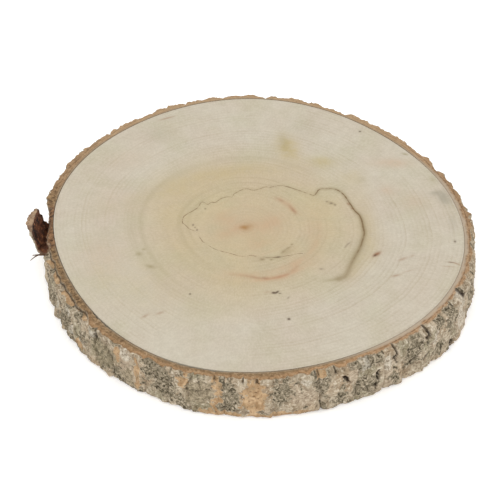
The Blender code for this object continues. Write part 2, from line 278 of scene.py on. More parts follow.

# The heart crack in the upper face, point by point in mm. The four tables after it give its look by
# the number of the point: width, its painted shade, halo and the broad stain at its lower end
HEART_CRACK = (
    (-42.5, 0.6), (-42.7, 3.0), (-42.0, 6.3), (-39.5, 9.2), (-36.7, 11.6), (-34.0, 14.6),
    (-32.1, 19.2), (-29.9, 18.9), (-28.3, 17.3), (-26.2, 19.3), (-23.8, 19.3), (-20.1, 23.0),
    (-16.4, 24.4), (-14.0, 24.1), (-12.9, 26.9), (-10.3, 29.3), (-7.5, 31.2), (-4.9, 31.7),
    (-2.1, 30.6), (0.7, 30.9), (3.9, 32.7), (6.4, 33.6), (8.1, 33.0), (11.9, 34.4),
    (15.0, 34.8), (17.8, 34.1), (20.9, 32.7), (24.6, 30.8), (28.4, 28.6), (31.6, 26.8),
    (34.2, 25.6), (35.9, 28.0), (36.9, 30.3), (39.1, 31.8), (41.7, 31.7), (44.2, 32.0),
    (46.9, 31.4), (49.6, 29.4), (52.1, 25.8), (54.0, 21.2), (55.8, 16.4), (57.9, 11.3),
    (60.1, 7.7), (61.3, 3.0), (61.8, -1.8), (62.2, -8.3), (61.0, -14.4), (59.3, -20.6),
    (57.4, -25.4), (55.1, -30.9), (52.9, -36.6), (51.3, -41.6), (49.2, -45.6), (45.7, -47.3),
)
CRACK_WIDTHS = ((0, 29, 31, 37, 41, 45, 48, 53), (0.48, 0.52, 0.66, 0.62, 0.78, 0.84, 0.65, 0.4))
CRACK_DARKS = ((0, 29, 32, 40, 44, 48, 50, 53), (0.74, 0.80, 0.84, 0.90, 0.80, 0.40, 0.14, 0.0))
CRACK_HALOS = ((0, 29, 31, 40, 44, 50, 53), (0.10, 0.14, 0.40, 0.70, 0.72, 0.40, 0.22))
CRACK_STAINS = ((0, 40, 44, 48, 53), (0.0, 0.0, 0.20, 0.34, 0.28))
LOWER_CRACK = (
    (-42.5, 0.6), (-40.7, -1.5), (-38.6, -4.5), (-36.5, -5.8), (-34.4, -7.5), (-30.6, -15.5),
    (-27.1, -19.0), (-23.9, -21.9), (-20.4, -23.8), (-16.6, -25.1), (-13.0, -26.6), (-9.6, -28.1),
    (-6.1, -28.3), (-3.2, -27.5), (-0.3, -28.3), (3.1, -28.6), (6.0, -29.5), (9.0, -29.5),
    (13.2, -29.2), (15.0, -28.6), (17.7, -27.9), (20.5, -27.2), (23.2, -26.1), (26.6, -26.0),
)
PINK_STREAKS = (
    ((-16.6, -43.2), (-5.9, -44.8), (3.0, -46.9), (11.9, -46.0), (19.1, -42.0), (24.6, -34.6)),
    ((11.3, 23.8), (17.4, 18.9), (21.9, 12.0), (23.9, 8.4)),
)
SPECKS = (  # small marks: colour, X, Y, half length, half width in mm, direction in degrees, strength
    ("dark", 9.6, -58.7, 1.0, 0.8, 0, 1.5),
    ("dark", 11.5, -58.2, 1.3, 0.6, 50, 1.5),
    ("dark", 13.0, -59.2, 0.8, 0.5, 0, 0.9),
    ("dark", 17.7, -62.6, 1.2, 0.5, 60, 0.5),
    ("dark", 17.7, -79.7, 0.8, 0.8, 0, 1.4),
    ("dark", 64.4, 87.4, 0.7, 0.7, 0, 1.2),
    ("dark", -36.6, -59.7, 0.6, 0.5, 0, 1.3),
    ("halo", 18.0, -24.5, 5.0, 2.0, 45, 0.28),
    ("halo", 7.0, -29.4, 8.0, 1.1, 0, 0.26),
    ("halo", 2.0, -32.0, 5.0, 1.6, 0, 0.16),
    ("dark", 113.8, -15.7, 0.7, 1.0, 0, 0.9),
    ("halo", 44.4, 18.4, 2.6, 1.4, -20, 0.45),
    ("dark", 41.7, 20.0, 0.7, 0.6, 20, 0.60),
    ("dark", 44.2, 18.4, 0.9, 0.7, 0, 0.75),
    ("dark", 46.4, 16.9, 0.8, 0.6, -60, 0.70),
    ("rust", 54.2, 17.6, 1.3, 0.7, -50, 0.7),
    ("rust", 56.4, 13.6, 1.3, 0.6, -40, 0.7),
    ("dark", 12.4, -29.0, 1.6, 0.6, 10, 0.9),
    ("halo", 18.2, -21.3, 2.2, 0.7, 40, 0.6),
    ("halo", 15.4, -24.4, 1.8, 0.8, 50, 0.6),
    ("halo", 20.4, -18.2, 0.8, 0.6, 50, 0.8),
    ("halo", 3.4, -31.0, 1.4, 0.9, 0, 0.7),
    ("halo", 8.6, -31.2, 1.0, 0.7, 0, 0.7),
    ("dark", -36.4, -1.2, 0.8, 0.5, 80, 0.9),
    ("dark", -35.2, -3.4, 0.6, 0.5, 80, 0.7),
    ("dark", -34.0, -5.6, 0.8, 0.5, 80, 0.9),
    ("dark", -29.6, 13.4, 0.6, 0.6, 0, 0.7),
    ("dark", 52.5, -17.9, 2.0, 0.5, 50, 0.55),
    ("dark", 51.0, -20.4, 1.0, 0.5, 50, 0.4),
    ("dark", 36.7, -39.1, 1.2, 0.7, 0, 0.5),
    ("rust", 68.4, -26.6, 2.8, 1.3, 42, 1.2),
    ("dark", 67.4, -27.6, 1.1, 0.6, 42, 1.0),
    ("rust", 83.0, -30.7, 3.0, 1.0, 30, 0.5),
    ("rust", 88.5, -28.0, 1.6, 0.8, 50, 0.3),
    ("rust", 78.0, -44.6, 2.8, 0.8, 20, 0.55),
    ("rust", 85.0, -41.0, 3.4, 0.5, 22, 0.3),
    ("rust", 110.4, -33.7, 2.6, 0.6, -10, 0.5),
    ("dark", 109.8, -33.5, 1.8, 0.4, -10, 0.6),
    ("rust", 113.4, -35.0, 2.0, 0.5, -30, 0.6),
    ("rust", 108.0, -37.0, 4.0, 0.5, -6, 0.35),
    ("rust", -60.7, -77.3, 2.6, 0.9, 40, 0.45),
    ("rust", -52.6, -74.9, 2.4, 0.9, 30, 0.45),
    ("rust", -55.4, 100.9, 5.0, 0.7, 24, 0.55),
    ("rust", 6.0, -58.2, 2.0, 0.6, 10, 0.35),
    ("amber", -6.2, -3.6, 2.5, 2.3, 0, 0.90),
    ("amber", -3.4, -1.8, 2.2, 1.6, 0, 0.28),
    ("amber", -8.4, -3.0, 2.0, 1.3, 30, 0.35),
    ("olive", 105.1, 40.4, 3.0, 2.0, -50, 0.4),
    ("olive", 90.5, 65.0, 2.2, 1.0, -20, 0.7),
    ("olive", -66.3, -26.5, 2.2, 1.4, 0, 0.5),
    ("olive", -64.0, -22.5, 1.0, 1.0, 0, 0.5),
    ("olive", -59.0, -37.1, 2.6, 1.4, -20, 0.8),
    ("olive", 47.0, -46.5, 4.5, 2.6, 30, 0.45),
    ("olive", 41.0, -48.4, 5.0, 1.2, 8, 0.4),
    ("olive", 63.0, 40.0, 2.6, 2.6, 0, 0.3),
    ("grey", 111.2, 23.0, 3.4, 6.0, 14, 0.85),
    ("grey", 106.6, 28.0, 4.0, 2.0, 14, 0.6),
    ("grey", 114.2, 0.8, 2.6, 8.0, 0, 0.35),
)
STAINS = (  # broad faint stains: colour, X, Y, half length, half width in mm, direction, strength
    ("pink", -4.0, -1.5, 13.0, 9.0, 0, 0.36),
    ("pink", 9.0, 1.0, 9.0, 6.0, 40, 0.30),
    ("pink", -16.0, -8.0, 8.0, 5.0, 40, 0.35),
    ("pink", -18.0, 5.0, 6.0, 5.0, -10, 0.30),
    ("pink", 1.0, -16.0, 6.0, 7.0, 0, 0.30),
    ("pink", 82.8, 56.2, 12.0, 4.5, 0, 0.40),
    ("pink", 78.0, 30.0, 6.0, 5.0, 0, 0.30),
    ("pink", 92.0, 20.0, 7.0, 8.0, 0, 0.22),
    ("pink", -84.0, 20.0, 20.0, 16.0, 0, 0.16),
    ("pink", -78.0, 60.0, 14.0, 10.0, 20, 0.15),
    ("pink", -86.0, -30.0, 12.0, 20.0, 0, 0.20),
    ("pink", 22.0, -36.0, 12.0, 5.0, 50, 0.22),
    ("pink", 33.0, -10.0, 4.0, 18.0, 0, 0.22),
    ("yellow", 19.7, 71.0, 6.5, 13.0, 10, 0.85),
    ("olive", 17.0, 76.0, 3.4, 9.0, 8, 0.30),
    ("yellow", 40.6, 57.2, 9.0, 5.0, 0, 0.65),
    ("yellow", 58.0, 44.0, 8.0, 8.0, -40, 0.30),
    ("yellow", -62.0, -55.0, 36.0, 24.0, -30, 0.24),
    ("yellow", 64.0, -6.0, 5.0, 26.0, 4, 0.35),
    ("yellow", 56.0, -36.0, 5.0, 14.0, -20, 0.40),
    ("yellow", -22.0, 46.0, 22.0, 6.0, 14, 0.40),
    ("yellow", -50.0, 32.0, 16.0, 7.0, 34, 0.40),
    ("yellow", 6.0, 50.0, 26.0, 6.0, 0, 0.25),
    ("grey", -60.0, 84.0, 8.0, 9.0, 40, 0.18),
    ("grey", 30.0, 92.0, 12.0, 9.0, 30, 0.12),
)
RING_BANDS = (  # darker rings: colour, ring from 0 to 1, half width, middle heading, reach, strength
    ("olive", 0.345, 0.014, 176.0, 60.0, 0.24),
    ("olive", 0.300, 0.008, 165.0, 50.0, 0.20),
    ("olive", 0.545, 0.016, 178.0, 60.0, 0.25),
    ("olive", 0.600, 0.020, 200.0, 50.0, 0.16),
    ("olive", 0.420, 0.012, 235.0, 60.0, 0.16),
    ("olive", 0.520, 0.014, 95.0, 50.0, 0.16),
    ("pink", 0.150, 0.012, 20.0, 150.0, 0.18),
    ("pink", 0.215, 0.010, 0.0, 170.0, 0.12),
    ("pink", 0.345, 0.012, -40.0, 50.0, 0.25),
    ("pink", 0.395, 0.010, -62.0, 40.0, 0.25),
)

# How finely the wood's upper face follows its cracks and marks
SMALL_MARK = 1.4  # half width in mm up to which a mark gets finer faces
FINER_FACES = (4.0 * MM, 2.4 * MM, 1.4 * MM)  # how near a mark faces are split, each time
LONG_EDGE = 0.5 * MM  # shorter edges aren't split
LINE_STEP = 0.4 * MM
STREAK_STEPS = (1.0 * MM, 0.6 * MM)  # of the pink streaks, for the faces and for the colour
LEVEL = 0.01 * MM  # heights closer than this count as the same
FURTHEST_CRACK = 4.0  # crack widths beyond which the distance no longer matters
CRACK_WOBBLE = 2.5 * MM  # distance over which the cracks get wider and narrower
CRACK_PATCHES = 4.0 * MM  # distance over which the finer crack and the streaks fade and return
NARROWEST_CRACK = 0.12 * MM
FINE_CRACK = (0.12, 0.55)  # narrowest and widest share of the heart crack's width
FINE_CRACK_DEPTH = 0.4  # share of the heart crack's depth
STREAK_CORE = (0.50, 1.1 * MM)  # strength and half width of a pink streak's middle, and of its glow
STREAK_GLOW = (0.48, 2.4 * MM)
HALO_WIDTH = 1.4 * MM  # half width of the heart crack's halo, and of the stain at its lower end
STAIN_WIDTH = 2.8 * MM

# Rows of the bark's cross-section: in the gap, on the sawn edge, on the shelf beside it and below
GAP_ROWS = 3
SAWN_ROWS = 12
SHELF_ROWS = 5
UNDER_ROWS = 4
ROW_STEP = 0.1 * MM  # distance between the rows before they are laid out
LAYER_REACH = 8.0 * MM  # distance from the wood at which the layer value is 1
UNDERSIDE_RINGS = 12

# The stage. Each softbox is: name, place, size in metres and watts
CAMERA_AIM = (-3.48 * MM, -7.20 * MM, 14.0 * MM)
CAMERA_ELEVATION = math.radians(41.5)
CAMERA_DISTANCE = 988.0 * MM
CAMERA_LENS = 122.4
SENSOR_WIDTH = 36.0
SKY = {"Color": "#FFFFFF", "Strength": 1.09}
SOFTBOXES = (
    ("key softbox", (-0.7, -0.5, 1.5), 1.5, 3.8),
    ("fill softbox", (1.1, -1.1, 1.0), 1.2, 3.0),
    ("back softbox", (0.0, 1.1, 1.2), 1.2, 2.2),
)
FLOOR_SIZE = 6.0
FLOOR_HEIGHT = -0.05 * MM


# What follows is the slice's form, as formulas

PLATE_TURNS = [plate[0] for plate in PLATES]
SAWN_TURNS, SAWN_VALUES = zip(*SAWN_SHARES)


def clamped(value):
    return min(max(value, 0.0), 1.0)


def smooth(low, high, value):
    """0 below low, 1 above high, and a soft step between them."""
    share = clamped((value - low) / (high - low))
    return share * share * (3.0 - 2.0 * share)


def apart(turn, other):
    """Degrees from another turn to this one, from -180 to 180."""
    return (turn - other + 180.0) % 360.0 - 180.0


def layered(spot, layers):
    """Noise in layers, each with its height and the size of its lumps."""
    return sum(height * noise.noise(spot / size) for height, size in layers)


def around_point(turn, radius, height):
    """The point at a turn, distance from the axis and height."""
    return Vector((radius * math.cos(math.radians(turn)), radius * math.sin(math.radians(turn)), height))


def between(first, last, turn, soft):
    """1 from turn first to turn last and 0 elsewhere, with soft degrees of change at each end."""
    middle = 0.5 * (first + last)
    half = 0.5 * (last - first)
    away = abs(apart(turn, middle))
    return 1.0 - smooth(half - 0.5 * soft, half + 0.5 * soft, away)


def wood_edge(turn):
    """Radius of the wood at a turn, which may be a number or an array."""
    radius = WOOD_RADIUS
    for count, height, crest in WOOD_LOBES:
        radius = radius + height * np.cos(np.radians(count * (turn - crest)))
    return radius


def hidden(turn, height):
    """0 where the photograph's side of the rim shows in outline, 1 at the far end of the wall."""
    level = height / THICKNESS
    back = 0.5 + 0.5 * math.sin(math.radians(turn))
    return back * (1.0 - level) + (1.0 - back) * level


def swayed(turn, height):
    """The turn at which a fissure passing through this point meets the outlined edge."""
    level = height / THICKNESS
    spot = around_point(turn, 1.0, 0.4 * level) * 5.0
    return turn + SWAY * hidden(turn, height) * 2.0 * noise.noise(spot)


def flank(distance):
    """Height of a fissure's side at a distance from its bottom."""
    return FLANK * (1.0 - math.exp(-distance / FLANK_RUN))


def flare(turn, height):
    """How much further out the wall stands at this height than at the upper edge."""
    leaning = 0.0
    for middle, reach, distance in FLARES:
        away = min(abs(apart(turn, middle)) / reach, 1.0)
        leaning += distance * (0.5 + 0.5 * math.cos(math.pi * away))
    return leaning * (1.0 - height / THICKNESS)


def on_the_wall(turn, height):
    """The point on the wood's outline at a turn and height, where the noises are read."""
    return around_point(turn, wood_edge(turn), height)


def plate_thickness(turn, height):
    """Thickness of the bark from its plates alone, and how far below its plate's top the point lies."""
    around = (swayed(turn, height) - PLATES[0][0]) % 360.0 + PLATES[0][0]
    index = max(int(np.searchsorted(PLATE_TURNS, around, side="right")) - 1, 0)
    start, floor, first, last = PLATES[index]
    following = PLATES[(index + 1) % len(PLATES)]
    end = following[0] if following[0] > start else following[0] + 360.0
    share = (around - start) / (end - start)
    width = math.radians(end - start) * WOOD_RADIUS
    near_side = floor * MM + flank(share * width)
    far_side = following[1] * MM + flank((1.0 - share) * width)
    top = (first + (last - first) * share) * MM
    lowest = min(near_side, far_side, top)
    grown = 0.5 + 1.6 * noise.noise(on_the_wall(turn, height) / HEALED_SIZE)
    healed = HEALED * hidden(turn, height) * smooth(0.2, 0.8, grown)
    return lowest + (top - lowest) * healed + flare(turn, height), (top - lowest) * (1.0 - healed)


def oval(turn, height, place):
    """How far from the middle of an oval on the wall a point lies: its edge is at 1."""
    across = math.radians(apart(turn, place[0])) * WOOD_RADIUS / MM
    along = height / MM - place[1]
    return math.hypot(across / place[2], along / place[3])


def in_ovals(turn, height, places, ragged):
    """1 inside any of the ovals, 0 outside all of them, with a ragged soft edge."""
    nearest = min(oval(turn, height, place) for place in places)
    return 1.0 - smooth(0.86, 1.1, nearest + ragged)


def slot_depth(turn, height, wobble):
    """Depth of the dark openings at a point, in metres."""
    deepest = 0.0
    for first, low, last, high, width, depth in SLOTS:
        if abs(turn - first) > SLOT_REACH:
            continue
        run = math.radians(last - first) * WOOD_RADIUS / MM
        rise = high - low
        across = math.radians(turn - first) * WOOD_RADIUS / MM + wobble
        up = height / MM - low
        share = clamped((across * run + up * rise) / (run * run + rise * rise))
        away = math.hypot(across - share * run, up - share * rise)
        near = math.exp(-((away / (0.6 * width)) ** 2)) * (1.0 - 0.3 * abs(wobble))
        deepest = max(deepest, depth * MM * near)
    return deepest


def curled(turn, height, spot, ragged):
    """How far the crust at a point stands in dark curled strands: in the placed patches and in others."""
    tall = Vector((spot.x, spot.y, 0.5 * spot.z))
    placed = max(
        place[4] * (1.0 - smooth(0.8, 1.15, oval(turn, height, place) + ragged)) for place in CURLY)
    scattered = noise.noise(tall / (6.5 * MM)) + 0.4 * noise.noise(spot / (2.2 * MM))
    return placed, 0.8 * smooth(0.04, 0.28, scattered)


def crust_patches(turn, height, spot):
    """How bare, plain, curly, mossy, silvery and peeled the bark is at a point."""
    ragged = layered(spot, PATCH_EDGE)
    bare = in_ovals(turn, height, BARE_BARK, ragged)
    bare *= 1.0 - in_ovals(turn, height, CRUST_TONGUES, ragged)
    placed, scattered = curled(turn, height, spot, ragged)
    plain = in_ovals(turn, height, SMOOTH_PLATES, 0.5 * ragged) * (1.0 - placed)
    curly = max(placed, scattered * (1.0 - plain)) * (1.0 - bare)
    mossy = in_ovals(turn, height, MOSSY, ragged)
    silvery = in_ovals(turn, height, SILVERY, ragged)
    peel = between(*PEEL, turn, 3.0) * smooth(PEEL_HEIGHT, PEEL_HEIGHT + PEEL_FADE, height)
    return bare, plain, curly, mossy, silvery, peel


def bark_point(turn, height):
    """Thickness of the bark and its looks: depth, bare, plain, curly, mossy, silvery and peeled."""
    spot = on_the_wall(turn, height)
    tall = Vector((spot.x, spot.y, 0.4 * spot.z))
    thick, below = plate_thickness(turn, height)
    patches = crust_patches(turn, height, spot)
    bare, plain, curly, _, _, peel = patches
    rough = (1.0 - BARE_SMOOTHER * bare) * (1.0 - PLAIN_SMOOTHER * plain)
    ridge = noise.noise(tall / RIDGE_SIZE + Vector((3.0, 0.0, 0.0)))
    coarse = noise.noise(spot / LUMP_SIZE)
    strands = 0.5 - 2.2 * abs(noise.noise(tall / STRAND_SIZE + Vector((7.0, 0.0, 0.0))))
    fine = (RIDGE * ridge + LUMP * coarse) * (0.3 + 0.7 * rough)
    fine += curly * (STRAND * strands - CURL_SUNK)
    fine += GRIT * noise.noise(spot / GRIT_SIZE) * (0.35 + 0.65 * rough)
    fine += peel * layered(spot, PEEL_LUMPS) - BARE_SUNK * bare
    fine *= 1.0 + FOOT_ROUGHER * smooth(FOOT_HEIGHT, 0.0, height)
    opened = slot_depth(turn, height, layered(spot, SLOT_WOBBLE))
    lumps = KNOBBLE * 2.0 * noise.noise(spot / KNOBBLE_SIZE)
    thick = max(thick + lumps + fine - opened - PEEL_DEPTH * peel, 0.6 * THINNEST_BARK)
    # Painted shade: the point is painted darker for its depth in a fissure, in the crust's hollows and in an
    # opening
    hollow_shade = curly * clamped(-0.1 - strands) + rough * clamped(-0.35 - ridge - 0.7 * coarse)
    depth = rough * min(below / FISSURE_DEPTH, FISSURE_SHADE_MOST) + HOLLOW_SHADE_STRENGTH * hollow_shade
    depth += opened / OPENING_DEPTH
    return thick, (min(depth, 1.0), *patches)


def rim_drop(turn):
    """How far the bark's outer corner lies below the upper sawn face."""
    spot = around_point(turn, 16.0, 0.0)
    crumbled = RIM_CHIP * (0.75 + 0.9 * noise.noise(spot))
    return max(crumbled, LEAST_DROP) + SHELF_DROP * between(*SHELF, turn, 4.0)


def sawn_share(turn, ragged):
    """How much of the bark's thickness is still flat at the upper face."""
    share = float(np.interp(turn, SAWN_TURNS, SAWN_VALUES)) * (1.0 + ragged)
    for middle, half, bite in WEDGES:
        share *= 1.0 - bite * math.exp(-(((turn - middle) / half) ** 2))
    return min(max(share, FLAT_LIMITS[0]), FLAT_LIMITS[1])


def parting(turn):
    """Width of the gap between the wood and the bark, which varies where it has opened."""
    opened = sum(width * between(first, last, turn, 7.0) for first, last, width in PARTING_GAPS)
    patchy = 0.8 + 0.9 * noise.noise(Vector((turn * 0.7, 3.0, 0.0)))
    return max(PARTING + opened * patchy, NARROWEST_PARTING)


# What follows makes the meshes

def deselect_all():
    for other in bpy.context.selected_objects:
        other.select_set(False)


def select_only(piece):
    deselect_all()
    piece.select_set(True)
    bpy.context.view_layer.objects.active = piece


def take_new(name):
    """The object that an operator has just added, under its name."""
    piece = bpy.context.active_object
    piece.name = name
    piece.data.name = name
    return piece


def coordinates(mesh):
    places = np.empty(len(mesh.vertices) * 3, np.float32)
    mesh.vertices.foreach_get("co", places)
    return places.reshape(-1, 3).astype(float)


def set_coordinates(mesh, places):
    mesh.vertices.foreach_set("co", places.astype(np.float32).ravel())
    mesh.update()


def store(mesh, name, values):
    """Keep one number per point in the mesh, for the materials to read."""
    attribute = mesh.attributes.get(name) or mesh.attributes.new(name, "FLOAT", "POINT")
    attribute.data.foreach_set("value", np.asarray(values, np.float32))


def finish_piece(piece, material, smooth_angle):
    """Give a piece its material and smoothing, and its place in the frame."""
    piece.data.materials.clear()
    piece.data.materials.append(material)
    select_only(piece)
    bpy.ops.object.shade_smooth_by_angle(angle=math.radians(smooth_angle))
    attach(piece, "root")
    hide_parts(NODE)


def ring_share(x, y):
    """0 at the pith and 1 at the wood's edge, along rings that change shape outwards."""
    away = np.hypot(x - PITH[0], y - PITH[1])
    heading = np.degrees(np.arctan2(y - PITH[1], x - PITH[0]))
    reach = wood_edge(heading)
    for _ in range(4):
        edge_x = PITH[0] + reach * np.cos(np.radians(heading))
        edge_y = PITH[1] + reach * np.sin(np.radians(heading))
        reach = reach + wood_edge(np.degrees(np.arctan2(edge_y, edge_x))) - np.hypot(edge_x, edge_y)
    return away / reach


def rounded_path(points, step):
    """A smooth path through points in mm: places about step apart, each with the point's number."""
    corners = [points[0], *points, points[-1]]
    path = []
    stretches = zip(corners, corners[1:], corners[2:], corners[3:])
    for index, (before, start, end, after) in enumerate(stretches):
        count = max(2, int(math.dist(start, end) * MM / step))
        for number in range(count):
            t = number / count
            place = [
                0.5 * MM * (
                    2 * start[k] + (end[k] - before[k]) * t
                    + (2 * before[k] - 5 * start[k] + 4 * end[k] - after[k]) * t * t
                    + (3 * start[k] - before[k] - 3 * end[k] + after[k]) * t ** 3
                )
                for k in (0, 1)
            ]
            path.append([*place, index + t])
    return np.array(path)


def path_distance(places, path):
    """Distance of each place from a path, and the number of the path's point that it is nearest to."""
    nearest = np.full(len(places), 1.0)
    along = np.zeros(len(places))
    for x, y, number in path:
        away = np.hypot(places[:, 0] - x, places[:, 1] - y)
        closer = away < nearest
        nearest[closer] = away[closer]
        along[closer] = number
    return nearest, along


def faded(distance, width):
    """1 on a line, and softly less away from it."""
    return np.exp(-((distance / width) ** 2))


def mark_amount(places, mark):
    """How strongly one soft-edged oval mark colours each place."""
    _, x, y, half_length, half_width, heading, strength = mark
    cosine, sine = math.cos(math.radians(heading)), math.sin(math.radians(heading))
    dx = places[:, 0] / MM - x
    dy = places[:, 1] / MM - y
    along = (dx * cosine + dy * sine) / half_length
    across = (dy * cosine - dx * sine) / half_width
    return strength * np.exp(-(along ** 2 + across ** 2))


# What follows makes the materials

MARK_COLOURS = {
    "pink": "#B28B6A",
    "yellow": "#AC9A69",
    "grey": "#878271",
    "olive": "#84784F",
    "halo": "#7C6A46",
    "amber": "#956C36",
    "rust": "#865C3E",
    "dark": "#4C3927",
}
BLOTCHY_MARKS = ("pink", "yellow", "olive", "grey")
CRACK_EDGE = (1.75, 1.15)  # where a crack's line starts and where it is full, in crack widths
RAYS_ROUND = 46.0  # how finely the rays divide the wood round the pith
RAY_BREAKS = 9.0  # how often they break off on their way outwards
RIM_STREAKS = 9.0  # how many streaks fill the thickness of the bark
CORK_FIBRE = 0.9 * MM
LICHEN_PATTERNS = {  # size of the lumps in mm, detail, roughness, curl, shift
    "curls": (1.3, 3.0, 0.6, 1.6, 0.0),
    "grains": (0.8, 3.0, 0.6, 0.8, 5.0),
    "lumps": (2.4, 2.0, 0.5, 0.0, 0.0),
    "patches": (8.0, 2.0, 0.5, 0.0, 3.0),
}


def linear(code):
    """An sRGB hex colour as linear RGBA."""
    channels = [int(code[i:i + 2], 16) / 255 for i in (1, 3, 5)]
    return tuple(c / 12.92 if c <= 0.04045 else ((c + 0.055) / 1.055) ** 2.4 for c in channels) + (1.0,)


def set_inputs(tree, node, inputs):
    """Give a node's inputs, by name or number, a value, a hex colour or another node's output."""
    for name, value in inputs.items():
        if isinstance(value, bpy.types.NodeSocket):
            tree.links.new(value, node.inputs[name])
        else:
            node.inputs[name].default_value = linear(value) if isinstance(value, str) else value


def add_node(tree, kind, inputs, output=0, **settings):
    """Add a node with its settings and links, and return one of its outputs."""
    node = tree.nodes.new(kind)
    for name, value in settings.items():
        setattr(node, name, value)
    set_inputs(tree, node, inputs)
    return node.outputs[output]


def begin_material(name, kept, patterns, sums):
    """A new material, its tree and what its colours depend on, by name.

    That is the place on the object, the values kept in the mesh, noise patterns and sums. Each pattern
    is: size of its lumps in mm, detail, roughness, curl, shift. Each sum is one of them times a weight
    plus another.
    """
    material = bpy.data.materials.new(name)
    material.use_nodes = True
    tree = material.node_tree
    place = add_node(tree, "ShaderNodeTexCoord", {}, "Object")
    seen = {"place": place}
    for value in kept:
        seen[value] = add_node(tree, "ShaderNodeAttribute", {}, "Fac", attribute_name=value)
    for pattern, (size, detail, roughness, curl, shift) in patterns.items():
        moved = add_node(tree, "ShaderNodeVectorMath", {0: place, 1: (shift, shift, shift)}, operation="ADD")
        seen[pattern] = add_node(tree, "ShaderNodeTexNoise", {
            "Vector": moved,
            "Scale": 0.5 / (size * MM),
            "Detail": detail,
            "Roughness": roughness,
            "Distortion": curl,
        })
    for total, (first, weight, second) in sums.items():
        terms = {0: seen[first], 1: weight, 2: seen[second]}
        seen[total] = add_node(tree, "ShaderNodeMath", terms, operation="MULTIPLY_ADD")
    return material, tree, seen


def multiplied(tree, factors):
    """Multiply values, each spread over 0 to 1 first.

    Each factor is: the value, where it starts and where it is full and, if they aren't 0 and 1, what it
    gives at both.
    """
    total = None
    for value, start, full, *given in factors:
        least, most = given or (0.0, 1.0)
        share = add_node(tree, "ShaderNodeMapRange", {0: value, 1: start, 2: full, 3: least, 4: most})
        if total is not None:
            share = add_node(tree, "ShaderNodeMath", {0: total, 1: share}, operation="MULTIPLY")
        total = share
    return total


def painted(tree, colour, coats):
    """Paint coats over a colour. Each coat is: its colour and the factors of how far it covers."""
    for coat, *factors in coats:
        share = multiplied(tree, factors)
        colour = add_node(tree, "ShaderNodeMix", {0: share, 6: colour, 7: coat}, 2, data_type="RGBA")
    return colour


def wood_rays(tree, place):
    """Noise drawn out into fine rays that run from the pith to the bark."""
    from_pith = add_node(
        tree,
        "ShaderNodeVectorMath",
        {0: place, 1: (1.0, 1.0, 0.0), 2: (-PITH[0], -PITH[1], 0.0)},
        operation="MULTIPLY_ADD",
    )
    heading = add_node(tree, "ShaderNodeVectorMath", {0: from_pith}, operation="NORMALIZE")
    drawn_out = add_node(
        tree,
        "ShaderNodeVectorMath",
        {0: from_pith, 1: (RAY_BREAKS, RAY_BREAKS, RAY_BREAKS), 2: heading},
        operation="MULTIPLY_ADD",
    )
    return add_node(tree, "ShaderNodeTexNoise", {"Vector": drawn_out, "Scale": RAYS_ROUND, "Detail": 2.0})


def late_wood(tree, seen):
    """The dark late part of each year's ring, stronger in some years and broken here and there."""
    years = 0.0
    for part, weight in (("ring", RING_COUNT), ("wander", 1.6), ("ripple", 0.55)):
        terms = {0: seen[part], 1: weight, 2: years}
        years = add_node(tree, "ShaderNodeMath", terms, operation="MULTIPLY_ADD")
    season = add_node(tree, "ShaderNodeMath", {0: years}, operation="FRACT")
    year = add_node(tree, "ShaderNodeMath", {0: years}, operation="FLOOR")
    strength = add_node(tree, "ShaderNodeTexWhiteNoise", {"W": year}, noise_dimensions="1D")
    return multiplied(tree, [
        (season, 0.35, 0.90),
        (season, 1.00, 0.93),
        (strength, 0.00, 1.00, 0.10, 1.0),
        (seen["broad"], 0.38, 0.62, 0.15, 1.0),
        (seen["breaks"], 0.30, 0.60, 0.40, 1.0),
    ])


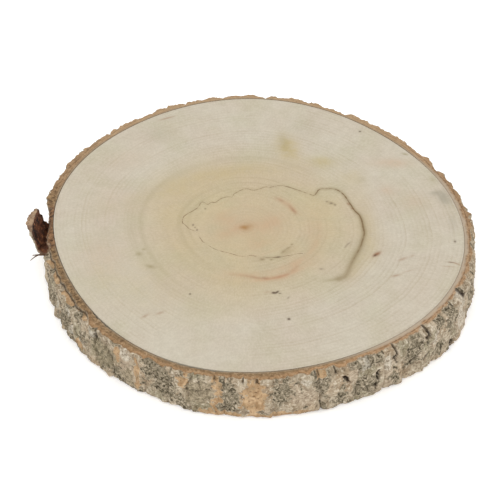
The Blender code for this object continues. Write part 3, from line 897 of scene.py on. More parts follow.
def end_grain_material(look):
    """Diffuse-porous pale hardwood, fine-sawn and lightly sanded across the grain.

    The eye sees faint close rings crossed by fainter rays, a warmer heart, soft stains and no gloss.
    """
    material, tree, seen = begin_material(
        "pale hardwood end grain, sawn and sanded",
        ("ring", "side", "crack", "crack_shade", "fine_crack", *MARK_COLOURS),
        {
            "wander": (22.0, 2.0, 0.5, 0.0, 0.0),
            "ripple": (3.5, 2.0, 0.5, 0.0, 0.0),
            "broad": (26.0, 2.0, 0.5, 0.0, 0.0),
            "breaks": (4.0, 2.0, 0.5, 0.0, 0.0),
            "cloud": (16.0, 3.0, 0.5, 0.0, 0.0),
            "green": (12.0, 3.0, 0.5, 0.0, 7.0),
            "blotch": (2.6, 3.0, 0.6, 0.0, 0.0),
            "jitter": (0.6, 2.0, 0.5, 0.0, 0.0),
            "pores": (0.45, 2.0, 0.6, 0.0, 0.0),
        },
        {
            "zone": ("wander", 0.22, "ring"),
            "crack_line": ("jitter", 1.1, "crack"),
            "fine_line": ("jitter", 1.1, "fine_crack"),
        },
    )
    late = late_wood(tree, seen)
    colour = painted(tree, look.sapwood, [
        (look.heart, (seen["zone"], 0.80, 0.50)),
        ("#B5A391", (seen["cloud"], 0.36, 0.66, 0.0, 0.32)),
        ("#A7A383", (seen["green"], 0.47, 0.68, 0.0, 0.30)),
        ("#8F7B5C", (late, 0.0, 1.0, 0.0, look.ring_contrast)),
        ("#8A7B62", (seen["blotch"], 0.36, 0.64, 0.13, 0.0)),
        ("#E2D8C4", (wood_rays(tree, seen["place"]), 0.40, 0.64, 0.0, 0.10)),
    ])
    for name, code in MARK_COLOURS.items():
        factors = [(seen[name], 0.0, 1.0, 0.0, 0.9)]
        if name in BLOTCHY_MARKS:
            factors.append((seen["blotch"], 0.3, 0.6, 0.5, 1.1))
        colour = painted(tree, colour, [(code, *factors)])
    colour = painted(tree, colour, [
        # The cracks' lines are painted dark brown: the shade inside the open cracks, over their shallow
        # grooves
        ("#6C5430", (seen["crack_line"], *CRACK_EDGE), (seen["crack_shade"], 0.0, 1.0)),
        ("#6A5234", (seen["fine_line"], *CRACK_EDGE, 0.0, 0.75)),
        # The wood's side, seen only down the narrow gap to the bark, is painted dark brown: painted shade
        ("#3E2E1F", (seen["side"], 0.0, 1.0)),
        ("#80715A", (seen["pores"], 0.35, 0.62, 0.12, 0.0)),
    ])
    relief = add_node(tree, "ShaderNodeMath", {0: late, 1: 0.5, 2: seen["pores"]}, operation="MULTIPLY_ADD")
    set_inputs(tree, tree.nodes["Principled BSDF"], {
        "Base Color": colour,
        "Roughness": 0.68,
        "Specular IOR Level": 0.35,
        "Normal": add_node(
            tree, "ShaderNodeBump", {"Strength": 0.25, "Distance": 0.12 * MM, "Height": relief}),
    })
    return material


def pale_crust(tree, seen, look):
    """The grainy pale plates of crustose lichen, greener in some patches and browner in others."""
    return painted(tree, look.lichen_dark, [
        (look.lichen, (seen["lumps"], 0.40, 0.60)),
        ("#B2926F", (seen["patches"], 0.50, 0.62, 0.0, 0.25)),
        ("#827E64", (seen["patches"], 0.44, 0.34, 0.0, 0.5)),
        ("#66553F", (seen["curls"], 0.43, 0.34, 0.0, 0.6)),
        ("#5E4F3B", (seen["grains"], 0.44, 0.35, 0.0, 0.7)),
        ("#D8CDB9", (seen["grains"], 0.55, 0.65, 0.0, 0.6)),
    ])


def crust_colour(tree, seen, look):
    """The whole crust: pale plates, dark curled strands, and smooth, mossy and silvery places."""
    strands = painted(tree, "#645C4A", [
        ("#9C8F79", (seen["curls"], 0.40, 0.60)),
        (look.lichen_pale, (seen["curls"], 0.56, 0.64, 0.0, 0.65)),
        # Painted shade in the hollows of the curled strands, where the relief is lowest
        (look.hollow_shade, (seen["curls"], 0.44, 0.37, 0.0, 0.8)),
        ("#4C4130", (seen["grains"], 0.44, 0.35, 0.0, 0.5)),
    ])
    crust = painted(tree, pale_crust(tree, seen, look), [(strands, (seen["stranded"], 0.5, 0.85))])
    for place, full, low, high in (
        ("plain", 0.62, "#8F7E6A", "#BBAA94"),
        ("mossy", 0.62, "#5E5742", "#9C8F74"),
        ("silvery", 0.58, "#857B6A", "#CBC3B3"),
    ):
        grainy = painted(tree, low, [(high, (seen["grains"], 0.38, full))])
        crust = painted(tree, crust, [(grainy, (seen[place], 0.0, 1.0, 0.0, 0.6))])
    return crust


def cork_colour(tree, seen, look):
    """Tan cork where the crust is gone: upright fibres, pale and greenish flecks, dark grains."""
    upright = add_node(tree, "ShaderNodeMapping", {"Vector": seen["place"], "Scale": (1.0, 1.0, 0.3)})
    fibres = add_node(tree, "ShaderNodeTexNoise", {
        "Vector": upright,
        "Scale": 0.5 / CORK_FIBRE,
        "Detail": 3.0,
        "Roughness": 0.6,
    })
    return painted(tree, "#987A58", [
        (look.bare_bark, (fibres, 0.36, 0.64)),
        ("#CBAE8A", (seen["flecks"], 0.52, 0.66, 0.0, 0.75)),
        ("#8C7C60", (seen["flecks"], 0.45, 0.33, 0.0, 0.55)),
        ("#644A30", (seen["grains"], 0.43, 0.35, 0.0, 0.7)),
    ])


def sawn_edge_colour(tree, seen, look):
    """The bark's sawn edge: streaks along the rim, a pale inner line and a dark seam at the wood."""
    across_the_rim = {"W": seen["streaky"], "Scale": RIM_STREAKS, "Detail": 3.0}
    streaks = add_node(tree, "ShaderNodeTexNoise", across_the_rim, noise_dimensions="1D")
    two_tone = painted(tree, "#7A6346", [
        ("#A5825D", (seen["outward"], 0.60, 0.88)),
        # Painted shade along the band's outer edge, where it breaks away to the crust
        ("#6E5236", (seen["outward"], 1.02, 1.14, 0.0, 0.6)),
    ])
    speckled = painted(tree, "#4E3B29", [("#937856", (seen["across"], 0.38, 0.62))])
    widened = multiplied(tree, [(seen["lilac"], 0.0, 1.0), (seen["blotch"], 0.36, 0.60, 0.02, 0.22)])
    inner = add_node(tree, "ShaderNodeMath", {0: seen["inward"], 1: widened}, operation="SUBTRACT")
    inner_line = painted(tree, "#95856E", [("#AC9E8B", (seen["lilac"], 0.0, 1.0))])
    return painted(tree, "#7A5F45", [
        (look.sawn_bark, (streaks, 0.36, 0.60)),
        (two_tone, (seen["two_tone"], 0.0, 1.0, 0.0, 0.75)),
        ("#BBA184", (seen["across"], 0.52, 0.68, 0.0, 0.6)),
        ("#5C442E", (seen["across"], 0.43, 0.32, 0.0, 0.7)),
        (speckled, (seen["dark_rim"], 0.0, 1.0, 0.0, 0.95)),
        ("#AC9575", (seen["pale_rim"], 0.0, 1.0, 0.0, 0.42)),
        (inner_line, (inner, 0.34, 0.16, 0.0, 0.8)),
        ("#4E3B2A", (seen["layer"], 0.075, 0.03), (seen["lilac"], 0.0, 1.0, 0.9, 0.3)),
    ])


def bark_material(look):
    """Dry hardwood bark with crustose lichen.

    The eye sees a matt, grainy grey crust with dark curls, and tan cork where it is sawn or bare.
    """
    material, tree, seen = begin_material(
        "dry bark, grey lichen crust over tan cork",
        (*BARK_LOOKS, *RIM_LOOKS),
        {
            **LICHEN_PATTERNS,
            "flecks": (2.6, 3.0, 0.6, 0.0, 0.0),
            "across": (0.9, 4.0, 0.7, 0.6, 0.0),
            "blotch": (4.0, 2.0, 0.5, 0.0, 0.0),
        },
        {
            "stranded": ("lumps", 0.5, "curly"),
            "bared": ("curls", 0.9, "bare"),
            "streaky": ("blotch", 0.45, "layer"),
            "outward": ("blotch", 0.35, "outer"),
            "inward": ("blotch", 0.26, "layer"),
            "relief": ("grains", 0.6, "curls"),
        },
    )
    torn = painted(tree, "#3B2519", [("#8A6243", (seen["across"], 0.38, 0.62))])
    colour = painted(tree, crust_colour(tree, seen, look), [
        (cork_colour(tree, seen, look), (seen["bared"], 1.18, 1.36)),
        (sawn_edge_colour(tree, seen, look), (seen["sawn"], 0.0, 1.0)),
        (torn, (seen["peel"], 0.0, 1.0, 0.0, 0.7)),
        # Painted shade: the fissure colour by depth, in fissures, openings, hollows and the gap at the wood
        (look.fissure, (seen["depth"], 0.25, 0.95, 0.0, 0.92)),
    ])
    set_inputs(tree, tree.nodes["Principled BSDF"], {
        "Base Color": colour,
        "Roughness": 0.92,
        "Specular IOR Level": 0.2,
        "Normal": add_node(
            tree, "ShaderNodeBump", {"Strength": 0.6, "Distance": 0.6 * MM, "Height": seen["relief"]}),
    })
    return material


def flake_material(look):
    """Bark torn off in a flake: dark red-brown cork inside, a tan sawn top edge and grey crust outside.

    The eye sees a matt, scaly inner face that is redder than the bark round it. Painted shade darkens it
    upwards.
    """
    material, tree, seen = begin_material(
        "torn bark flake, red-brown inner cork",
        ("inside", "sawn", "rise"),
        {**LICHEN_PATTERNS, "scales": (2.4, 3.0, 0.6, 0.0, 0.0)},
        {"redness_and_shade": ("rise", -0.14, "scales")},
    )
    # Painted shade: the inside goes near black towards the top, and painted light makes it redder and paler
    # near its foot
    cork = painted(tree, look.flake_shaded, [
        (look.flake_red, (seen["redness_and_shade"], 0.30, 0.56)),
        ("#7E4E31", (seen["rise"], 0.45, 0.05, 0.0, 0.6)),
        ("#A87048", (seen["grains"], 0.56, 0.68, 0.0, 0.7)),
    ])
    top = painted(tree, "#6E543F", [
        ("#A08568", (seen["scales"], 0.40, 0.60)),
        ("#4A3424", (seen["grains"], 0.45, 0.35, 0.0, 0.7)),
    ])
    colour = painted(tree, pale_crust(tree, seen, look), [
        (cork, (seen["inside"], 0.0, 1.0)),
        (top, (seen["sawn"], 0.0, 1.0)),
    ])
    set_inputs(tree, tree.nodes["Principled BSDF"], {
        "Base Color": colour,
        "Roughness": 0.8,
        "Normal": add_node(
            tree, "ShaderNodeBump", {"Strength": 0.7, "Distance": 0.8 * MM, "Height": seen["scales"]}),
    })
    return material


def fibre_material():
    """Dry bast fibre, torn. The eye sees a matt brown with darker and paler lengths."""
    material, tree, seen = begin_material(
        "dry bast fibre, torn", (), {"lengths": (1.0, 2.0, 0.5, 0.0, 0.0)}, {})
    colour = painted(tree, "#3E2A20", [("#7E6048", (seen["lengths"], 0.0, 1.0))])
    set_inputs(tree, tree.nodes["Principled BSDF"], {"Base Color": colour, "Roughness": 0.9})
    return material


def floor_material(look):
    """Opal acrylic sheet lit from below. The eye sees white without gloss and almost no shadow."""
    material, tree, seen = begin_material(
        "opal acrylic light table", (), {"clouds": (80.0, 2.0, 0.5, 0.0, 0.0)}, {})
    set_inputs(tree, tree.nodes["Principled BSDF"], {
        "Base Color": painted(tree, look.floor, [("#FFFFFF", (seen["clouds"], 0.0, 1.0))]),
        "Emission Color": (1.0, 0.99, 0.97, 1.0),
        "Emission Strength": 0.2,
        "Roughness": 0.9,
    })
    return material


class SliceSizes(bpy.types.PropertyGroup):
    """Fineness of the pieces, size of the heart crack and wear of the wood's edge."""

    wood_columns: bpy.props.IntProperty(
        name="Wood columns", description="Steps round the wood", default=360, min=90)
    wood_rings: bpy.props.IntProperty(
        name="Wood rings", description="Steps from the pith to the edge", default=44, min=10)
    bark_columns: bpy.props.IntProperty(
        name="Bark columns", description="Steps round the bark", default=1560, min=300)
    wall_rows: bpy.props.IntProperty(
        name="Wall rows", description="Steps down the bark's outer wall", default=38, min=8)
    crack_depth: bpy.props.FloatProperty(
        name="Crack depth", description="Depth of the heart crack where it is widest",
        default=0.16 * MM, unit="LENGTH", precision=5)
    crack_width: bpy.props.FloatProperty(
        name="Crack width", description="Half width of the heart crack where it is widest",
        default=0.55 * MM, unit="LENGTH", precision=5)
    edge_round: bpy.props.FloatProperty(
        name="Edge rounding", description="How far the wood's sawn edge is worn round",
        default=0.15 * MM, unit="LENGTH", precision=5)
    flake_columns: bpy.props.IntProperty(
        name="Flake columns", description="Steps round the rim on the flake", default=64, min=8)
    flake_rows: bpy.props.IntProperty(
        name="Flake rows", description="Steps up the flake", default=56, min=8)


class SliceColours(bpy.types.PropertyGroup):
    """Colours of the wood, bark and floor, as sRGB hex codes."""

    sapwood: bpy.props.StringProperty(name="Sapwood", description="Outer wood", default="#BBB3A2")
    heart: bpy.props.StringProperty(name="Heart", description="Wood round the pith", default="#B5A583")
    ring_contrast: bpy.props.FloatProperty(
        name="Ring contrast", description="How far the rings darken the wood", default=0.34, min=0.0, max=1.0)
    lichen: bpy.props.StringProperty(name="Lichen", description="Grey crust", default="#B1A38D")
    lichen_dark: bpy.props.StringProperty(
        name="Dark lichen", description="Crust between its lumps", default="#91826C")
    lichen_pale: bpy.props.StringProperty(
        name="Pale lichen", description="Crust on its curled strands", default="#C2B5A0")
    # Shade painted into the crust's hollows, where its relief is lowest
    hollow_shade: bpy.props.StringProperty(name="Hollow", description="Crust's dark hollows", default="#3B3226")
    bare_bark: bpy.props.StringProperty(name="Bare bark", description="Bark without crust", default="#B79A77")
    sawn_bark: bpy.props.StringProperty(name="Sawn bark", description="Cut edge", default="#A68665")
    # Colour of the shade painted into the bark's fissures, openings, hollows and the gap at the wood
    fissure: bpy.props.StringProperty(name="Fissure", description="Fissure bottoms", default="#2C2118")
    # Near black: painted shade on the flake's inside
    flake_shaded: bpy.props.StringProperty(name="Flake, dark", description="Torn cork", default="#2A1812")
    flake_red: bpy.props.StringProperty(name="Flake, red", description="Torn cork", default="#70432A")
    floor: bpy.props.StringProperty(name="Floor", description="The light table below", default="#F7F7F6")


class SLICE_OT_wood(bpy.types.Operator):
    """Add the wood: both sawn faces with their rings, the heart crack and the stains"""

    bl_idname = "slice.wood"
    bl_label = "Wood"

    def execute(self, context):
        sizes = context.scene.slice_sizes
        deselect_all()
        bpy.ops.mesh.primitive_circle_add(
            vertices=sizes.wood_columns, radius=WOOD_RADIUS, fill_type="NOTHING", location=(0, 0, 0))
        wood = take_new("wood")
        form = bmesh.new()
        form.from_mesh(wood.data)
        rims = wood_sections(sizes)
        loop = list(form.edges)
        rim_of = {vertex: 0 for vertex in form.verts}
        for number in range(1, len(rims)):
            made = bmesh.ops.extrude_edge_only(form, edges=loop)["geom"]
            loop = [part for part in made if isinstance(part, bmesh.types.BMEdge)]
            rim_of.update({part: number for part in made if isinstance(part, bmesh.types.BMVert)})
        lay_out_wood(rim_of, rims)
        for edges in (form.edges[:sizes.wood_columns], loop):
            ends = {vertex for edge in edges for vertex in edge.verts}
            bmesh.ops.pointmerge(form, verts=list(ends), merge_co=next(iter(ends)).co)
        bmesh.ops.recalc_face_normals(form, faces=form.faces)
        form.to_mesh(wood.data)
        form.free()
        refine_near_marks(wood)
        carve_wood(wood, sizes)
        finish_piece(wood, end_grain_material(context.scene.slice_colours), 40.0)
        return {"FINISHED"}


def wood_sections(sizes):
    """The wood's cross-section, from the pith over the rim to the pith below.

    Each row is: its share of the way to the rim, its inset there and its height.
    """
    worn = sizes.edge_round
    rims = [(number / sizes.wood_rings, 0.0, THICKNESS) for number in range(sizes.wood_rings)]
    rims += [(1.0, worn, THICKNESS), (1.0, 0.3 * worn, THICKNESS - 0.3 * worn), (1.0, 0.0, THICKNESS - worn)]
    rims += [(1.0, 0.0, 0.5 * THICKNESS), (1.0, 0.0, worn), (1.0, worn, 0.0)]
    rims += [(1.0 - number / UNDERSIDE_RINGS, 0.0, 0.0) for number in range(1, UNDERSIDE_RINGS + 1)]
    return rims


def lay_out_wood(rim_of, rims):
    """Put each point at its share of the way from the pith to the wood's outline."""
    for vertex, number in rim_of.items():
        share, inset, height = rims[number]
        turn = math.degrees(math.atan2(vertex.co.y, vertex.co.x))
        reach = wood_edge(turn) - inset
        edge = around_point(turn, reach, 0.0)
        vertex.co = (
            PITH[0] + (edge.x - PITH[0]) * share,
            PITH[1] + (edge.y - PITH[1]) * share,
            height,
        )


def crack_paths():
    """Paths of the heart crack and of the finer crack that goes on from it."""
    return rounded_path(HEART_CRACK, LINE_STEP), rounded_path(LOWER_CRACK, LINE_STEP)


def refine_near_marks(wood):
    """Split the faces near the cracks and the small marks until they are about 0.4 mm across."""
    heart, lower = crack_paths()
    for reach in FINER_FACES:
        form = bmesh.new()
        form.from_mesh(wood.data)
        centres = np.array([face.calc_center_median() for face in form.faces])
        upper = centres[:, 2] > THICKNESS - LEVEL
        near = np.minimum(path_distance(centres, heart)[0], path_distance(centres, lower)[0]) < reach
        for streak in PINK_STREAKS:
            near |= path_distance(centres, rounded_path(streak, STREAK_STEPS[0]))[0] < reach
        for _, x, y, half_length, half_width, _, _ in SPECKS:
            if half_width <= SMALL_MARK:
                away = np.hypot(centres[:, 0] - x * MM, centres[:, 1] - y * MM)
                near |= away < half_length * MM + 0.5 * reach
        form.faces.ensure_lookup_table()
        chosen = {edge for index in np.flatnonzero(near & upper) for edge in form.faces[index].edges}
        chosen = [edge for edge in chosen if edge.calc_length() > LONG_EDGE]
        bmesh.ops.subdivide_edges(form, edges=chosen, cuts=1, use_grid_fill=True)
        form.to_mesh(wood.data)
        form.free()


def carve_wood(wood, sizes):
    """Sink the cracks into the upper face and keep what the material reads at each point.

    The crack attributes are distances in crack widths, so that the line stays crisp between points.
    """
    places = coordinates(wood.data)
    upper = places[:, 2] > THICKNESS - LEVEL
    heart, lower = crack_paths()
    away, along = path_distance(places, heart)
    wobble = np.array([noise.noise(Vector(place) / CRACK_WOBBLE) for place in places])
    width = sizes.crack_width * np.interp(along, *CRACK_WIDTHS) * (0.95 + 0.8 * wobble)
    ratio = away / np.maximum(width, NARROWEST_CRACK)
    patchy = np.array([noise.noise(Vector(place) / CRACK_PATCHES) for place in places])
    low_width = sizes.crack_width * np.clip(0.44 + 0.6 * patchy, *FINE_CRACK)
    low_ratio = path_distance(places, lower)[0] / low_width
    # How much shade is painted into the heart crack; it also sets the groove's depth
    dark = np.interp(along, *CRACK_DARKS)
    groove = dark * np.clip(CRACK_EDGE[1] - ratio, 0.0, 1.0)
    groove += FINE_CRACK_DEPTH * np.clip(CRACK_EDGE[1] - low_ratio, 0.0, 1.0)
    places[upper, 2] -= sizes.crack_depth * groove[upper]
    set_coordinates(wood.data, places)
    rings = ring_share(places[:, 0], places[:, 1])
    store(wood.data, "ring", rings)
    store(wood.data, "crack", np.where(upper, np.minimum(ratio, FURTHEST_CRACK), FURTHEST_CRACK))
    store(wood.data, "crack_shade", dark)
    # The side seen down the gap is marked for its painted shade
    within = (places[:, 2] > 0.2 * MM) & (places[:, 2] < THICKNESS - 0.2 * MM)
    store(wood.data, "side", within & (rings > 0.99))
    store(wood.data, "fine_crack", np.where(upper, np.minimum(low_ratio, FURTHEST_CRACK), FURTHEST_CRACK))
    marks = {name: np.zeros(len(places)) for name in MARK_COLOURS}
    for mark in SPECKS + STAINS:
        marks[mark[0]] += mark_amount(places, mark)
    for streak in PINK_STREAKS:
        line, number = path_distance(places, rounded_path(streak, STREAK_STEPS[1]))
        share = np.sin(np.pi * np.clip((number + 0.3) / (len(streak) - 0.4), 0.0, 1.0))
        marks["rust"] += STREAK_CORE[0] * share * faded(line, STREAK_CORE[1]) * (0.75 + 1.2 * patchy)
        marks["pink"] += STREAK_GLOW[0] * share * faded(line, STREAK_GLOW[1])
    heading = np.degrees(np.arctan2(places[:, 1] - PITH[1], places[:, 0] - PITH[0]))
    for name, ring, half, middle, reach, strength in RING_BANDS:
        turned = np.abs(apart(heading, middle)) / reach
        marks[name] += strength * faded(rings - ring, half) * np.exp(-(turned ** 4))
    marks["halo"] += faded(away, HALO_WIDTH) * np.interp(along, *CRACK_HALOS)
    marks["halo"] += faded(away, STAIN_WIDTH) * np.interp(along, *CRACK_STAINS)
    for name, values in marks.items():
        store(wood.data, name, np.where(upper | (name == "pink"), np.clip(values, 0.0, 1.0), 0.0))


def bark_section(sizes):
    """The bark's cross-section as a closed loop of rows: kind and share of the way along its stretch.

    It goes up the gap at the wood, out over the flat sawn edge and the broken or sunken shelf beside
    it, down the wall and back below.
    """
    rows = [("inside", number / GAP_ROWS) for number in range(GAP_ROWS)]
    rows += [("sawn", number / (SAWN_ROWS - 1)) for number in range(SAWN_ROWS)]
    rows += [("shelf", number / (SHELF_ROWS + 1)) for number in range(1, SHELF_ROWS + 1)]
    rows += [("wall", number / (sizes.wall_rows - 1)) for number in range(sizes.wall_rows)]
    rows += [("under", number / UNDER_ROWS) for number in range(1, UNDER_ROWS + 1)]
    return rows


def bark_row_points(rows, turn):
    """Radius, height and the looks named in BARK_LOOKS of every row of the bark at one turn."""
    edge = float(wood_edge(turn))
    gap = parting(turn)
    drop = rim_drop(turn)
    foot = bark_point(turn, RIM_CHIP)[0]
    shelf = between(*SHELF, turn, 4.0)
    flat = sawn_share(turn, layered(on_the_wall(turn, 0.0), SAWN_EDGE))
    drop += CORNER_DROP * (1.0 - flat) * (1.0 - shelf)
    highest = THICKNESS - drop
    rim_thick, rim_look = bark_point(turn, highest)
    sawn_to = max((1.0 - SHELF_SHARE * shelf) * flat * rim_thick, gap + 0.9 * MM)
    points = []
    for kind, share in rows:
        look = [0.0] * len(rim_look)
        sawn = outer = 0.0
        if kind == "inside":
            reach, height = gap, (0.15 + 0.75 * share) * THICKNESS
            # The bark's face down the gap at the wood is painted full fissure colour: painted shade
            look[DEPTH] = 1.0
        elif kind == "sawn":
            reach = gap + (sawn_to - gap) * share
            ends = 0.05 * MM * (share in (0.0, 1.0))
            height = THICKNESS - ends - saw_scars(turn, edge + reach)
            look[PEELED] = rim_look[PEELED]
            sawn, outer = 1.0, share
        elif kind == "shelf":
            reach = sawn_to + (rim_thick - sawn_to) * share ** 0.8
            step = (1.0 - shelf) * share ** 1.3 + shelf * (0.75 * smooth(0.0, 0.3, share) + 0.25 * share)
            spot = around_point(turn, edge + reach, 0.0)
            crumbs = 0.8 * MM * noise.noise(spot / (1.6 * MM)) - 0.3 * MM
            height = min(THICKNESS - drop * step + crumbs * min(3.0 * share, 1.0), THICKNESS - 0.1 * MM)
            tan = shelf * smooth(-0.15, 0.1, noise.noise(spot / (6.0 * MM)))
            look = list(rim_look)
            # Painted shade on the step down from the sawn edge to the sunken ledge, beside the crust's own
            look[DEPTH] = max(0.95 * shelf * (share < 0.3), 0.8 * rim_look[DEPTH])
            look[BARE] = max(tan, rim_look[BARE])
        elif kind == "wall":
            height = highest + (RIM_CHIP - highest) * share
            reach, look = bark_point(turn, height)
        else:
            corner = foot - 0.6 * RIM_CHIP
            reach = corner + (gap - corner) * share ** 1.5
            height = RIM_CHIP * (1.0 - share) ** 6 * 0.3
            sawn = 1.0
        layer = min(reach / LAYER_REACH, 1.0)
        points.append((edge + reach, max(height, 0.0), layer, *look, sawn, outer))
    return points


def saw_scars(turn, radius):
    """Shallow tearing of the soft bark by the saw."""
    spot = around_point(turn, radius, 0.0)
    return 0.35 * MM * abs(noise.noise(spot / (1.6 * MM))) + 0.12 * MM * abs(noise.noise(spot / (0.6 * MM)))


def rim_looks(turn):
    """How dark, two-toned, pale and lilac the sawn rim is at a turn."""
    dark = max(strength * between(first, last, turn, 16.0) for first, last, strength in DARK_RIMS)
    pale = smooth(0.25, 0.95, math.sin(math.radians(turn)))
    lilac = smooth(0.45, 0.90, math.cos(math.radians(turn - LILAC_RIM)))
    return dark, between(*TWO_TONE_RIM, turn, 20.0), pale, lilac


class SLICE_OT_bark(bpy.types.Operator):
    """Add the bark: its sawn edges, plates, fissures and crust, turned round the wood"""

    bl_idname = "slice.bark"
    bl_label = "Bark"

    def execute(self, context):
        sizes = context.scene.slice_sizes
        rows = bark_section(sizes)
        mesh = bpy.data.meshes.new("bark")
        count = len(rows)
        mesh.from_pydata(
            [(WOOD_RADIUS + number * ROW_STEP, 0.0, 0.0) for number in range(count)],
            [(number, (number + 1) % count) for number in range(count)],
            [],
        )
        bark = bpy.data.objects.new("bark", mesh)
        context.scene.collection.objects.link(bark)
        turned = bark.modifiers.new("round the trunk", "SCREW")
        turned.axis = "Z"
        turned.steps = turned.render_steps = sizes.bark_columns
        turned.use_merge_vertices = False
        select_only(bark)
        bpy.ops.object.modifier_apply(modifier=turned.name)
        places = coordinates(bark.data)
        row_of = np.rint((np.hypot(places[:, 0], places[:, 1]) - WOOD_RADIUS) / ROW_STEP).astype(int)
        step = 360.0 / sizes.bark_columns
        angles = np.arctan2(places[:, 1], places[:, 0])
        column_of = np.rint(np.degrees(angles) / step).astype(int) % sizes.bark_columns
        turns = [apart(column * step, 0.0) for column in range(sizes.bark_columns)]
        chosen = np.array([bark_row_points(rows, turn) for turn in turns])[column_of, row_of]
        angles = np.radians(column_of * step)
        places = np.stack([chosen[:, 0] * np.cos(angles), chosen[:, 0] * np.sin(angles), chosen[:, 1]], 1)
        set_coordinates(bark.data, places)
        kept = np.hstack([chosen[:, 2:], np.array([rim_looks(turn) for turn in turns])[column_of]])
        for number, name in enumerate(BARK_LOOKS + RIM_LOOKS):
            store(bark.data, name, kept[:, number])
        bpy.ops.object.mode_set(mode="EDIT")
        bpy.ops.mesh.select_all(action="SELECT")
        bpy.ops.mesh.normals_make_consistent(inside=False)
        bpy.ops.object.mode_set(mode="OBJECT")
        finish_piece(bark, bark_material(context.scene.slice_colours), 60.0)
        return {"FINISHED"}


class SLICE_OT_flake(bpy.types.Operator):
    """Add the flake of bark that leans away from the trunk"""

    bl_idname = "slice.flake"
    bl_label = "Bark flake"

    def execute(self, context):
        sizes = context.scene.slice_sizes
        deselect_all()
        bpy.ops.mesh.primitive_grid_add(
            x_subdivisions=sizes.flake_columns, y_subdivisions=sizes.flake_rows, size=2.0, location=(0, 0, 0))
        flake = take_new("bark_flake")
        mesh = flake.data
        grid = coordinates(mesh)
        set_coordinates(mesh, np.array([flake_point(x, 0.5 + 0.5 * y) for x, y, _ in grid]))
        full = flake.vertex_groups.new(name="full thickness")
        for index, (side, _, _) in enumerate(grid):
            full.add([index], 1.0 - side * side, "REPLACE")
        wall = flake.modifiers.new("bark thickness", "SOLIDIFY")
        wall.thickness = FLAKE_THICKNESS
        wall.offset = 0.0
        wall.vertex_group = full.name
        wall.thickness_vertex_group = FLAKE_THINNED
        select_only(flake)
        bpy.ops.object.modifier_apply(modifier=wall.name)
        shape_flake(flake.data)
        finish_piece(flake, flake_material(context.scene.slice_colours), 45.0)
        return {"FINISHED"}


def flake_point(side, rise):
    """Middle of the flake's thickness: side from -1 to 1 round the rim, rise from foot to top."""
    half = FLAKE_FOOT_HALF + (FLAKE_TOP_HALF - FLAKE_FOOT_HALF) * rise
    ragged = 0.07 * math.sin(9.0 * rise) + 0.16 * noise.noise(Vector((2.0 * side, 7.0 * rise, 4.0)))
    turn = FLAKE_TURN + side * half * (1.0 + ragged)
    furthest = FLAKE_TOP_OUT - FLAKE_HOLLOW * (side - FLAKE_FURTHEST) ** 2
    bend = FLAKE_BENDS[0] + (FLAKE_BENDS[1] - FLAKE_BENDS[0]) * (0.5 + 0.5 * side)
    out = FLAKE_FOOT_OUT + (furthest - FLAKE_FOOT_OUT) * rise ** bend
    radius = float(wood_edge(turn)) + out
    foot = FLAKE_FOOT_HEIGHT + FLAKE_FOOT_LIFT * (0.5 + 0.5 * side) ** 2
    height = foot + (THICKNESS + MM - foot) * rise
    return around_point(turn, radius, height)


def shape_flake(mesh):
    """Roughen the flake's skin, level its top and keep what the material reads."""
    half = len(mesh.vertices) // 2
    places = coordinates(mesh)
    middle = 0.5 * (places[:half] + places[half:])
    outwards = np.hypot(places[:half, 0], places[:half, 1]) > np.hypot(places[half:, 0], places[half:, 1])
    outer = np.concatenate([outwards, ~outwards])
    away = places - np.concatenate([middle, middle])
    thick = np.linalg.norm(away, axis=1)
    for index, (place, depth) in enumerate(zip(places, thick)):
        spot = Vector(place)
        bump = layered(spot, FLAKE_SKIN)
        if outer[index]:
            bump *= CRUST_ROUGHER
        places[index] += away[index] / max(depth, 0.1 * MM) * bump * min(depth / SKIN_DEPTH, 1.0)
    inside = np.where(outer, 0.0, 1.0)
    sawn = np.clip((places[:, 2] - THICKNESS + 0.02 * MM) / (0.02 * MM), 0.0, 1.0)
    places[:, 2] = np.minimum(places[:, 2], THICKNESS)
    set_coordinates(mesh, places)
    store(mesh, "inside", inside)
    store(mesh, "sawn", sawn)
    store(mesh, "rise", (places[:, 2] - FLAKE_FOOT_HEIGHT) / (THICKNESS - FLAKE_FOOT_HEIGHT))


class SLICE_OT_fibres(bpy.types.Operator):
    """Add the torn fibres of bast below the flake"""

    bl_idname = "slice.fibres"
    bl_label = "Fibres"

    def execute(self, context):
        deselect_all()
        curve = bpy.data.curves.new("fibres", "CURVE")
        curve.dimensions = "3D"
        curve.bevel_depth = FIBRE_RADIUS
        curve.bevel_resolution = 2
        curve.use_fill_caps = True
        for route in FIBRE_ROUTES:
            spline = curve.splines.new("NURBS")
            spline.points.add(len(route) - 1)
            for number, (point, place) in enumerate(zip(spline.points, route)):
                point.co = (place[0] * MM, place[1] * MM, place[2] * MM, 1.0)
                point.radius = float(np.interp(number, (0, len(route) - 1), FIBRE_TAPER))
            spline.use_endpoint_u = True
            spline.order_u = 3
        fibres = bpy.data.objects.new("fibres", curve)
        context.scene.collection.objects.link(fibres)
        select_only(fibres)
        bpy.ops.object.convert(target="MESH")
        finish_piece(context.active_object, fibre_material(), 50.0)
        return {"FINISHED"}


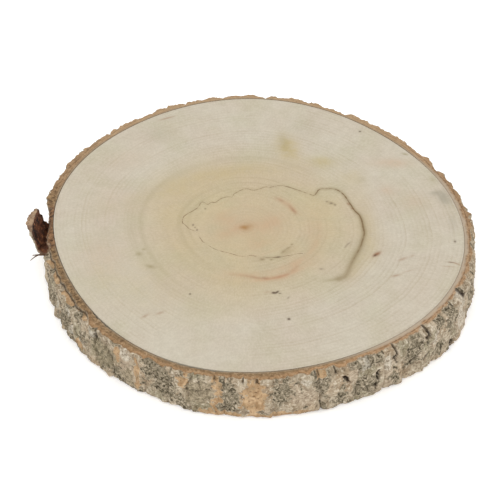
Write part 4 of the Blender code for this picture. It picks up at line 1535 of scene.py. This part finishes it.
class SLICE_OT_stage(bpy.types.Operator):
    """Add the floor, the soft lights and the camera at the photograph's angle"""

    bl_idname = "slice.stage"
    bl_label = "Stage"

    def execute(self, context):
        deselect_all()
        bpy.ops.mesh.primitive_plane_add(size=FLOOR_SIZE, location=(0, 0, FLOOR_HEIGHT))
        floor = take_new("floor")
        floor.data.materials.append(floor_material(context.scene.slice_colours))
        world = bpy.data.worlds.new("soft daylight")
        world.use_nodes = True
        set_inputs(world.node_tree, world.node_tree.nodes["Background"], SKY)
        context.scene.world = world
        for name, place, size, power in SOFTBOXES:
            bpy.ops.object.light_add(type="AREA", location=place)
            light = bpy.context.active_object
            light.name = name
            light.data.size = size
            light.data.energy = power
            light.rotation_euler = (-Vector(place)).to_track_quat("-Z", "Y").to_euler()
        backwards = Vector((0.0, -math.cos(CAMERA_ELEVATION), math.sin(CAMERA_ELEVATION)))
        bpy.ops.object.camera_add(
            location=Vector(CAMERA_AIM) + CAMERA_DISTANCE * backwards,
            rotation=(math.pi / 2 - CAMERA_ELEVATION, 0.0, 0.0),
        )
        camera = bpy.context.active_object
        camera.data.lens = CAMERA_LENS
        camera.data.sensor_width = SENSOR_WIDTH
        context.scene.camera = camera
        context.scene.view_settings.view_transform = "Standard"
        return {"FINISHED"}


class SLICE_PT_panel(bpy.types.Panel):
    """Lists the slice's pieces and their settings"""

    bl_idname = "SLICE_PT_panel"
    bl_label = "Wood slice"
    bl_space_type = "VIEW_3D"
    bl_region_type = "UI"
    bl_category = "Wood slice"

    def draw(self, context):
        for operator in OPERATORS:
            self.layout.operator(operator.bl_idname)
        for group in (context.scene.slice_sizes, context.scene.slice_colours):
            for name in group.__annotations__:
                self.layout.prop(group, name)


OPERATORS = (SLICE_OT_wood, SLICE_OT_bark, SLICE_OT_flake, SLICE_OT_fibres, SLICE_OT_stage)
CLASSES = (SliceSizes, SliceColours, *OPERATORS, SLICE_PT_panel)


def register():
    for one in CLASSES:
        bpy.utils.register_class(one)
    bpy.types.Scene.slice_sizes = bpy.props.PointerProperty(type=SliceSizes)
    bpy.types.Scene.slice_colours = bpy.props.PointerProperty(type=SliceColours)


def unregister():
    del bpy.types.Scene.slice_sizes
    del bpy.types.Scene.slice_colours
    for one in reversed(CLASSES):
        bpy.utils.unregister_class(one)


def main():
    register()
    bpy.ops.slice.stage()
    bpy.ops.slice.wood()
    bpy.ops.slice.bark()
    bpy.ops.slice.flake()
    bpy.ops.slice.fibres()


if __name__ == "__main__":
    main()
